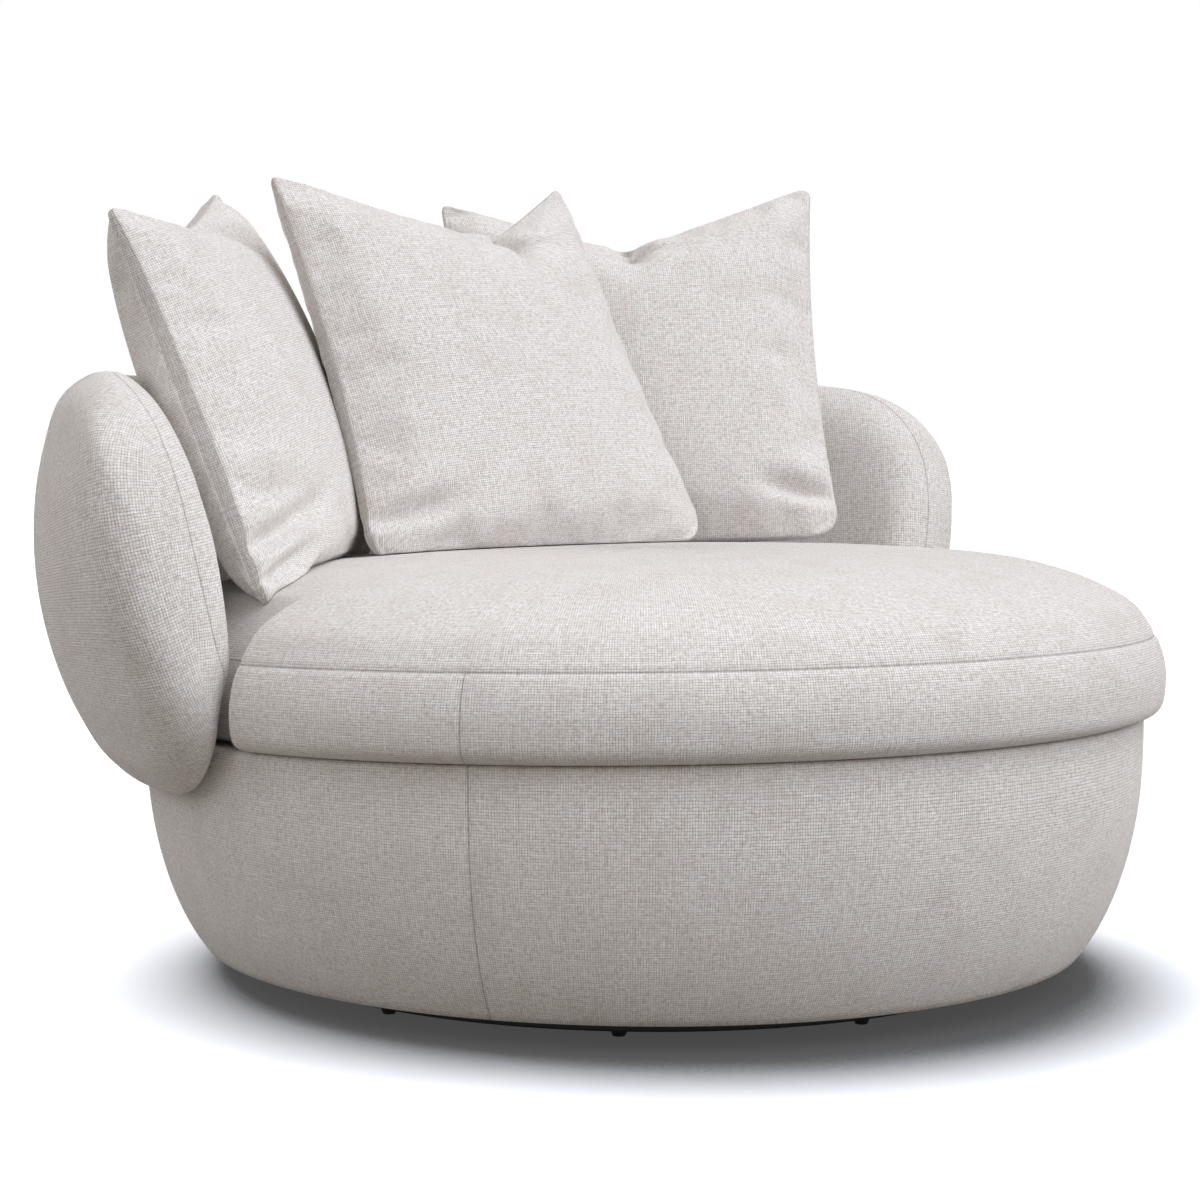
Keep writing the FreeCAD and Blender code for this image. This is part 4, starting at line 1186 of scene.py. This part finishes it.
@dataclass
class ScatterPillow:
    """A loose square pillow with a knife-edge seam and soft ears, leaning on the back."""

    name: str
    shape: PillowShape
    seat: BVHTree
    back: BVHTree
    depth: float = 0.168
    side_pull: float = 0.06
    top_pull: float = 0.03
    chop_roundness: float = 0.07
    roundness: float = 0.43
    ear_pinch: float = 0.30
    ear_length: float = 0.13
    ear_radius: float = 0.06
    foot_radius: float = 0.17
    hem: float = 0.0035
    crease_onset: float = 2.5               # folds are full where the fullness is over 1 in this
    spare_cloth: float = 0.02
    most_settled: float = 0.006
    cells: int = 56
    back_gap: float = 0.001
    back_reach: float = 0.060               # how deep in the back a point is still moved out of it
    front_gap: float = 0.0012
    rear_gap: float = 0.0006
    corners: list[Vector] = field(init=False)
    forwards: Vector = field(init=False)
    upwards: Vector = field(init=False)
    half: float = field(init=False)

    def __post_init__(self) -> None:
        """Work out the directions of the pillow from its tips."""
        self.corners = [Vector(tip) + AXIS for tip in self.shape.tips]
        top_left, top_right, bottom_right, bottom_left = self.corners
        self.forwards = (bottom_right - top_left).cross(top_right - bottom_left).normalized()
        self.upwards = (top_left + top_right - bottom_left - bottom_right).normalized()
        self.half = (top_right - top_left + bottom_right - bottom_left).length / 4

    def build(self) -> bpy.types.Object:
        """Sew a flat bag, fill it and rest it on the seat cushion.

        Returns:
            The finished piece.
        """
        bm = bmesh.new()
        seam_layer = bm.verts.layers.float.new(SEAM_LAYER)
        halves = []
        for side in Side:
            before = set(bm.verts)
            bmesh.ops.create_grid(bm, x_segments=self.cells, y_segments=self.cells, size=1.0)
            halves.append((side, [vert for vert in bm.verts if vert not in before]))
        for side, verts in halves:
            flat = {vert: vert.co.copy() for vert in verts}
            for vert in verts:
                across, up = math.sin(vert.co.x * math.pi / 2), math.sin(vert.co.y * math.pi / 2)
                edge = min(1 - abs(across), 1 - abs(up)) * self.half
                vert[seam_layer] = edge
                vert.co = self.filled(across, up, side)
            self.lay_face(bm, flat)
        bmesh.ops.remove_doubles(bm, verts=bm.verts, dist=SAME_PLACE)
        bmesh.ops.recalc_face_normals(bm, faces=bm.faces)
        bm.verts.index_update()
        on_seam = [vert.index for vert in bm.verts if vert[seam_layer] < self.hem]
        piece = to_object(bm, self.name + "_sewn")
        settle_as_cloth(piece, on_seam, self.spare_cloth, self.most_settled)
        for vert in piece.data.vertices:
            vert.co = self.rested(vert.co, Side.FRONT)
        subdivide(piece)
        return piece

    def lay_face(self, bm: bmesh.types.BMesh, flat: dict[bmesh.types.BMVert, Vector]) -> None:
        """Lay the cloth of one face, by its lengths along the rows and columns from the middle.

        Args:
            bm: The bag.
            flat: Place of each vertex of the face in the flat square.
        """
        uv = bm.loops.layers.uv.get(CLOTH_UV) or bm.loops.layers.uv.new(CLOTH_UV)
        reaches = [{}, {}]
        for axis in (0, 1):
            rows: dict[int, list[bmesh.types.BMVert]] = {}
            for vert, place in flat.items():
                rows.setdefault(round(place[1 - axis] * 1000), []).append(vert)
            for row in rows.values():
                row.sort(key=lambda vert: flat[vert][axis])
                lengths = lengths_along([vert.co for vert in row])
                middle = lengths[len(row) // 2]
                reaches[axis].update({vert: length - middle for vert, length in zip(row, lengths)})
        for vert in flat:
            for loop in vert.link_loops:
                loop[uv].uv = (reaches[0][vert], reaches[1][vert])

    def round_off(self, across: float, up: float) -> Point:
        """Round the corners of the flat bag: the ears end softly, the lower corners are tucked under.

        Args:
            across: Share of the half width, from -1 to 1.
            up: Share of the half height, from -1 to 1.

        Returns:
            Both shares, pulled inwards near a corner.
        """
        radius = self.ear_radius if up > 0 else self.foot_radius
        start = 1 - radius
        beyond_x, beyond_y = (abs(across) - start) / radius, (abs(up) - start) / radius
        if beyond_x <= 0 or beyond_y <= 0:
            return across, up
        round_x = beyond_x * math.sqrt(max(0.0, 1 - beyond_y ** 2 / 2))
        round_y = beyond_y * math.sqrt(max(0.0, 1 - beyond_x ** 2 / 2))
        return (math.copysign(start + round_x * radius, across),
                math.copysign(start + round_y * radius, up))

    def filled(self, across: float, up: float, side: Side) -> Vector:
        """Place of a point of the cloth once the bag is filled and stands at its pose.

        Args:
            across: Share of the half width, from -1 to 1.
            up: Share of the half height, from -1 to 1.
            side: Front or back of the pillow.

        Returns:
            The point, lifted on to the seat cushion where it would sink in.
        """
        top_left, top_right, bottom_right, bottom_left = self.corners
        chop_at = self.shape.chop_at
        flat_x, flat_y = self.round_off(across, up)
        from_chop = across - chop_at
        beside = from_chop / (1 - math.copysign(chop_at, from_chop))
        dent = self.shape.chop * max(0.0, 1 - math.hypot(beside, self.chop_roundness)) * max(0.0, up) ** 2
        pulled_across = flat_x * (1 - self.side_pull * (1 - up ** 2))
        pulled_up = flat_y * (1 - self.top_pull * (1 - across ** 2)) if up > 0 else flat_y
        right_share, top_share = (1 + pulled_across) / 2, (1 + pulled_up) / 2
        top = top_left.lerp(top_right, right_share)
        bottom = bottom_left.lerp(bottom_right, right_share)
        fullness = max(0.0, (1 - across ** 2) * (1 - up ** 2)) ** self.roundness
        to_ear = math.hypot(1 - abs(across), 1 - abs(up))
        fullness *= 1 - self.ear_pinch * math.exp(-(to_ear / self.ear_length) ** 2)
        creases = self.shape.creases if side is Side.FRONT else ()
        drawn = sum(crease.drawn(across, up) for crease in creases)
        drawn *= min(1.0, fullness * self.crease_onset)
        edge = min(1 - abs(across), 1 - abs(up)) * self.half
        hem = self.hem * math.sqrt(min(1.0, edge / self.hem))
        thickness = math.hypot(self.depth / 2 * fullness, hem) - drawn
        place = bottom.lerp(top, top_share) + self.forwards * side.value * thickness
        return self.rested(place - self.upwards * dent, side)

    def rested(self, place: Vector, side: Side) -> Vector:
        """Move a point out of the back and on to the seat cushion where it would sink in.

        Args:
            place: The point.
            side: Side of the pillow that it is on.

        Returns:
            The point, clear of both.
        """
        nearest, normal, _, _ = self.back.find_nearest(place)
        inside = (place - nearest).dot(normal)
        if inside < self.back_gap and (place - nearest).length < self.back_reach:
            place = place + normal * (self.back_gap - inside)
        above = Vector((place.x, place.y, ABOVE_ALL))
        hit = self.seat.ray_cast(above, -UP)[0]
        clear = self.front_gap if side is Side.FRONT else self.rear_gap
        if hit is not None and place.z < hit.z + clear:
            return Vector((place.x, place.y, hit.z + clear))
        return place


# tips: top left, top right, bottom right, bottom left, in metres from the swivel axis and the floor
PILLOWS = {
    "left_pillow": PillowShape(
        tips=((-0.599, 0.287, 0.906), (-0.190, 0.601, 0.963),
              (-0.085, 0.410, 0.484), (-0.545, 0.072, 0.448)),
        chop=0.040, chop_at=0.05,
        creases=(Crease((0.05, 1.0), (0.40, 0.80), 0.014, 0.05),
                 Crease((-1.0, -0.70), (-0.40, -0.62), 0.030, 0.055),
                 Crease((-0.98, -0.86), (-0.58, -0.80), 0.026, 0.045),
                 Crease((-0.92, -0.48), (-0.50, -0.54), 0.012, 0.06))),
    "centre_pillow": PillowShape(
        tips=((-0.296, 0.365, 0.967), (0.227, 0.373, 0.984),
              (0.275, 0.137, 0.504), (-0.271, 0.200, 0.487)),
        chop=0.085, chop_at=0.31,
        creases=(Crease((0.30, 1.0), (0.38, 0.62), 0.052, 0.06),
                 Crease((0.32, 0.84), (0.04, 0.78), 0.014, 0.05),
                 Crease((0.36, 0.80), (0.60, 0.62), 0.010, 0.06),
                 Crease((-1.0, -0.80), (-0.62, -0.74), 0.028, 0.045),
                 Crease((-0.78, -0.92), (-0.50, -0.96), 0.006, 0.04),
                 Crease((0.97, -0.80), (0.70, -0.74), 0.005, 0.05))),
    "right_pillow": PillowShape(
        tips=((0.206, 0.584, 0.976), (0.597, 0.223, 0.998),
              (0.449, 0.041, 0.509), (0.102, 0.452, 0.482)),
        chop=0.088, chop_at=-0.03,
        creases=(Crease((-0.03, 1.0), (0.05, 0.66), 0.048, 0.06),
                 Crease((0.0, 0.80), (0.30, 0.74), 0.012, 0.06),
                 Crease((1.0, -0.80), (0.62, -0.74), 0.026, 0.045),
                 Crease((0.90, -0.92), (0.60, -0.88), 0.006, 0.05))),
}


# ---- studio --------------------------------------------------------------------------------------
@dataclass
class Studio:
    """White sweep with a painted shadow under the chair, soft light from the right and above, and the
    camera.
    """

    azimuth: float = -47.9
    distance: float = 3.401
    height: float = 0.673
    lens: float = 82.5
    pitch: float = 0.0672
    yaw: float = -0.0162
    roll: float = 0.0062
    ambient: float = 0.41
    key_strength: float = 2.45
    fill_strength: float = 0.85
    warm: str = "FFF5EA"
    cool: str = "F1F6FF"
    # cool tint of the painted floor shadow, which keeps it grey under the warm world light
    shadow_tone: str = "E4EFFF"
    # directions as the camera sees them: right, away and up
    key_from: Triple = (0.64, -0.33, 0.69)
    fill_from: Triple = (-0.75, -0.25, 0.62)
    shadow_tilt: Triple = (-0.30, 0.55, 1.0)
    lamp_spread: float = 60.0
    floor_size: float = 30.0
    floor_glow: float = 0.06
    floor_shade: str = "D2D2D2"
    # painted floor shadow: how far away the chair still darkens the floor, the shares of open sky at which
    # it is deepest and gone, and its darkest level
    shadow_reach: float = 0.5
    shadow_limits: Pair = (0.35, 0.64)      # shares of open sky at which the shadow is deepest and gone
    deepest_shadow: float = 0.05
    unlit_by_lamps: bpy.types.Object = field(init=False)

    def build(self) -> None:
        """Make floor, world, lamps and camera."""
        self.unlit_by_lamps = self.floor()
        self.world()
        self.lamp("key_light", self.key_from, self.key_strength)
        self.lamp("fill_light", self.fill_from, self.fill_strength)
        self.camera()

    def camera(self) -> None:
        """Aim the camera."""
        turn = math.radians(self.azimuth)
        data = bpy.data.cameras.new("camera")
        data.lens = self.lens
        data.sensor_width = 36.0
        data.clip_end = 100
        camera = bpy.data.objects.new("camera", data)
        bpy.context.scene.collection.objects.link(camera)
        place = at_angle(self.distance, turn, self.height)
        camera.matrix_world = (Matrix.Translation(place) @ Matrix.Rotation(turn - self.yaw, 4, "Z")
                               @ Matrix.Rotation(math.pi / 2 - self.pitch, 4, "X")
                               @ Matrix.Rotation(self.roll, 4, "Z"))
        bpy.context.scene.camera = camera

    def lamp(self, name: str, towards: Triple, strength: float) -> None:
        """Add a soft distant lamp that lights the chair and leaves out the floor.

        Args:
            name: Name of the lamp.
            towards: Where it stands, as right, away and up from the camera.
            strength: Its strength.
        """
        data = bpy.data.lights.new(name, "SUN")
        data.energy = strength
        data.color = linear(self.cool)[:3]
        data.angle = math.radians(self.lamp_spread)
        lamp = bpy.data.objects.new(name, data)
        turned = Matrix.Rotation(math.radians(self.azimuth), 3, "Z") @ Vector(towards)
        lamp.matrix_world = turned.to_track_quat("Z", "Y").to_matrix().to_4x4()
        bpy.context.scene.collection.objects.link(lamp)
        receivers = bpy.data.collections.new(name + "_receivers")
        receivers.objects.link(self.unlit_by_lamps)
        lamp.light_linking.receiver_collection = receivers
        receivers.collection_objects[0].light_linking.link_state = "EXCLUDE"

    def world(self) -> None:
        """White where seen or mirrored, moderate where it lights the cloth."""
        world = bpy.data.worlds.new("studio")
        world.use_nodes = True
        tree = world.node_tree
        tree.nodes.clear()
        path = add_node(tree, "ShaderNodeLightPath")
        seen = self.seen(tree, path)
        strength = add_node(tree, "ShaderNodeMapRange", {"Value": seen, "To Min": self.ambient,
                                                         "To Max": 1.0})
        light = add_node(tree, "ShaderNodeBackground", {"Strength": strength.outputs[0]})
        tint = add_node(tree, "ShaderNodeMix", {"Factor": seen, "A": linear(self.warm),
                                                "B": linear("FFFFFF")}, data_type="RGBA")
        tree.links.new(tint.outputs["Result"], light.inputs["Color"])
        add_node(tree, "ShaderNodeOutputWorld", {"Surface": light.outputs[0]})
        bpy.context.scene.world = world

    def seen(self, tree: bpy.types.NodeTree, path: bpy.types.Node) -> bpy.types.NodeSocket:
        """Tell rays that see or mirror the backdrop from those that carry its light.

        Args:
            tree: The node tree.
            path: Its light path node.

        Returns:
            A socket that is 1 for rays that see it and 0 for the rest.
        """
        seen_or_glossy = add_node(tree, "ShaderNodeMath", {0: path.outputs["Is Camera Ray"],
                                                           1: path.outputs["Is Glossy Ray"]},
                                  operation="MAXIMUM")
        any_of_them = add_node(tree, "ShaderNodeMath", {0: seen_or_glossy.outputs[0],
                                                        1: path.outputs["Is Transmission Ray"]},
                               operation="MAXIMUM")
        return any_of_them.outputs[0]

    def floor(self) -> bpy.types.Object:
        """Make a wide pale floor that shows white in the open, with a soft shadow painted into its colour
        where the chair hides its sky.

        Returns:
            The floor.
        """
        bm = bmesh.new()
        bmesh.ops.create_grid(bm, x_segments=4, y_segments=4, size=self.floor_size)
        floor = to_object(bm, "studio_floor")
        material, tree = blank_material("white_studio_sweep")
        where = add_node(tree, "ShaderNodeTexCoord").outputs["Object"]
        faint = add_node(tree, "ShaderNodeTexNoise", {"Vector": where, "Scale": 0.7})
        tone = add_node(tree, "ShaderNodeMapRange", {"Value": faint.outputs[0], "To Min": 0.995,
                                                     "To Max": 1.0})
        path = add_node(tree, "ShaderNodeLightPath")
        seen = self.seen(tree, path)
        shade = add_node(tree, "ShaderNodeBsdfDiffuse", {"Color": linear(self.floor_shade)})
        # painted shadow: the floor's colour darkens where the chair hides its sky, measured about a tilted
        # normal that moves the shadow to the front and right
        tilt = Matrix.Rotation(math.radians(self.azimuth), 3, "Z") @ Vector(self.shadow_tilt)
        leaning = add_node(tree, "ShaderNodeCombineXYZ", {0: tilt.x, 1: tilt.y, 2: tilt.z})
        open_sky = add_node(tree, "ShaderNodeAmbientOcclusion", {"Distance": self.shadow_reach,
                                                                 "Normal": leaning.outputs[0]}, samples=32)
        contact = add_node(tree, "ShaderNodeMapRange", {
            "Value": open_sky.outputs["AO"], "From Min": self.shadow_limits[0],
            "From Max": self.shadow_limits[1], "To Min": self.deepest_shadow, "To Max": 1.0})
        tone_here = add_node(tree, "ShaderNodeMix", {"Factor": contact.outputs[0], "A": linear("000000"),
                                                     "B": linear(self.shadow_tone)}, data_type="RGBA")
        lit = add_node(tree, "ShaderNodeBsdfDiffuse", {"Color": tone_here.outputs["Result"]})
        # the world lights the floor at less than half of white, so four layers of light are added up
        twice_lit = add_node(tree, "ShaderNodeAddShader", {0: lit.outputs[0], 1: lit.outputs[0]})
        well_lit = add_node(tree, "ShaderNodeAddShader", {0: twice_lit.outputs[0],
                                                          1: twice_lit.outputs[0]})
        glow_strength = add_node(tree, "ShaderNodeMath", {0: tone.outputs[0], 1: self.floor_glow},
                                 operation="MULTIPLY")
        glow = add_node(tree, "ShaderNodeEmission", {"Strength": glow_strength.outputs[0]})
        white = add_node(tree, "ShaderNodeAddShader", {0: well_lit.outputs[0], 1: glow.outputs[0]})
        both = add_node(tree, "ShaderNodeMixShader", {0: seen, 1: shade.outputs[0], 2: white.outputs[0]})
        add_node(tree, "ShaderNodeOutputMaterial", {"Surface": both.outputs[0]})
        dress(floor, material)
        return floor


# ---- the whole chair -----------------------------------------------------------------------------
@dataclass
class CuddleChair:
    """The whole chair, built sub-assembly by sub-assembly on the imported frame."""

    frame: dict
    upholstery: bpy.types.Material = field(init=False)

    def build(self) -> None:
        """Build and dress every piece."""
        self.upholstery = SlubLinen().make()
        self.dress_frame()
        self.add_base()
        self.add_pillows(self.add_back(), self.add_cushion())

    def settle(self, piece: bpy.types.Object, body: str, nodes: Iterable[str]) -> None:
        """Ride a piece on its body and let it stand for its solids.

        Args:
            piece: The piece.
            body: Name of the body that carries it.
            nodes: Names of the solids that it stands for.
        """
        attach(piece, body)
        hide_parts(*nodes)
        LOG.info("%s: %d faces, stands for %s", piece.name, len(piece.data.polygons), ", ".join(nodes))

    def dress_frame(self) -> None:
        """Give the solids that stay in view, or stay hidden inside, their own finishes."""
        finishes = {
            PLINTH_PAINT: ("plinth_board",),
            GLIDE_NYLON: ("glides",),
            CAGE_NYLON: ("ball_cage",),
            RACE_STEEL: ("swivel_lower_race", "swivel_upper_race", "swivel_lower_screws",
                         "swivel_upper_screws", "connector_bolts", "spacer_sleeves", "cross_dowels"),
            BALL_STEEL: ("swivel_balls",),
            BIRCH_PLY: ("base_skin_panel", "deck_ring", "rim_hoop", "base_ribs", "bottom_board",
                        "back_lower_rail", "back_top_rail", "back_inner_panel", "back_ribs"),
            FELTED_PAD: ("deck_pad",),
            CUT_FOAM: ("base_foam",),
            WEBBING: ("webbing_straps",),
            DUST_CLOTH: ("dust_cover",),
        }
        for finish, nodes in finishes.items():
            material = finish.make()
            for name in nodes:
                dress(self.frame["nodes"][name], material)
            LOG.info("%s: %s", material.name, ", ".join(nodes))

    def add_base(self) -> None:
        """Add the cover of the round base."""
        piece = BowlBase().build()
        dress(piece, self.upholstery)
        self.settle(piece, "turning_chair", ("base_cover", "base_foam"))

    def add_back(self) -> bpy.types.Object:
        """Add the cover of the back and arms.

        Returns:
            The cover, for the pillows to lean on.
        """
        piece = WrapBack().build()
        dress(piece, self.upholstery)
        self.settle(piece, "turning_chair", ("back_inner_cover", "back_outer_cover",
                                                            "back_foam"))
        return piece

    def add_cushion(self) -> bpy.types.Object:
        """Add the seat cushion.

        Returns:
            The cushion, for the pillows to rest on.
        """
        piece = SeatCushion().build()
        dress(piece, self.upholstery)
        self.settle(piece, "seat_cushion", ("seat_cushion_cover", "seat_fibre_wrap",
                                                           "seat_foam_core"))
        return piece

    def add_pillows(self, back: bpy.types.Object, cushion: bpy.types.Object) -> None:
        """Add the three loose pillows.

        Args:
            back: The back, which they lean on.
            cushion: The seat cushion, which they rest on.
        """
        bpy.context.view_layer.update()
        graph = bpy.context.evaluated_depsgraph_get()
        seat, leant_on = BVHTree.FromObject(cushion, graph), BVHTree.FromObject(back, graph)
        for name, shape in PILLOWS.items():
            piece = ScatterPillow(name, shape, seat, leant_on).build()
            dress(piece, self.upholstery)
            self.settle(piece, name, (name + "_cover", name + "_insert"))


def main() -> None:
    """Build the chair and the studio around it."""
    logging.basicConfig(level=logging.INFO, format="%(message)s")
    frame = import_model()
    CuddleChair(frame).build()
    Studio().build()
    bpy.context.scene.view_settings.view_transform = "Standard"
    bpy.context.view_layer.update()


if __name__ == "__main__":
    main()
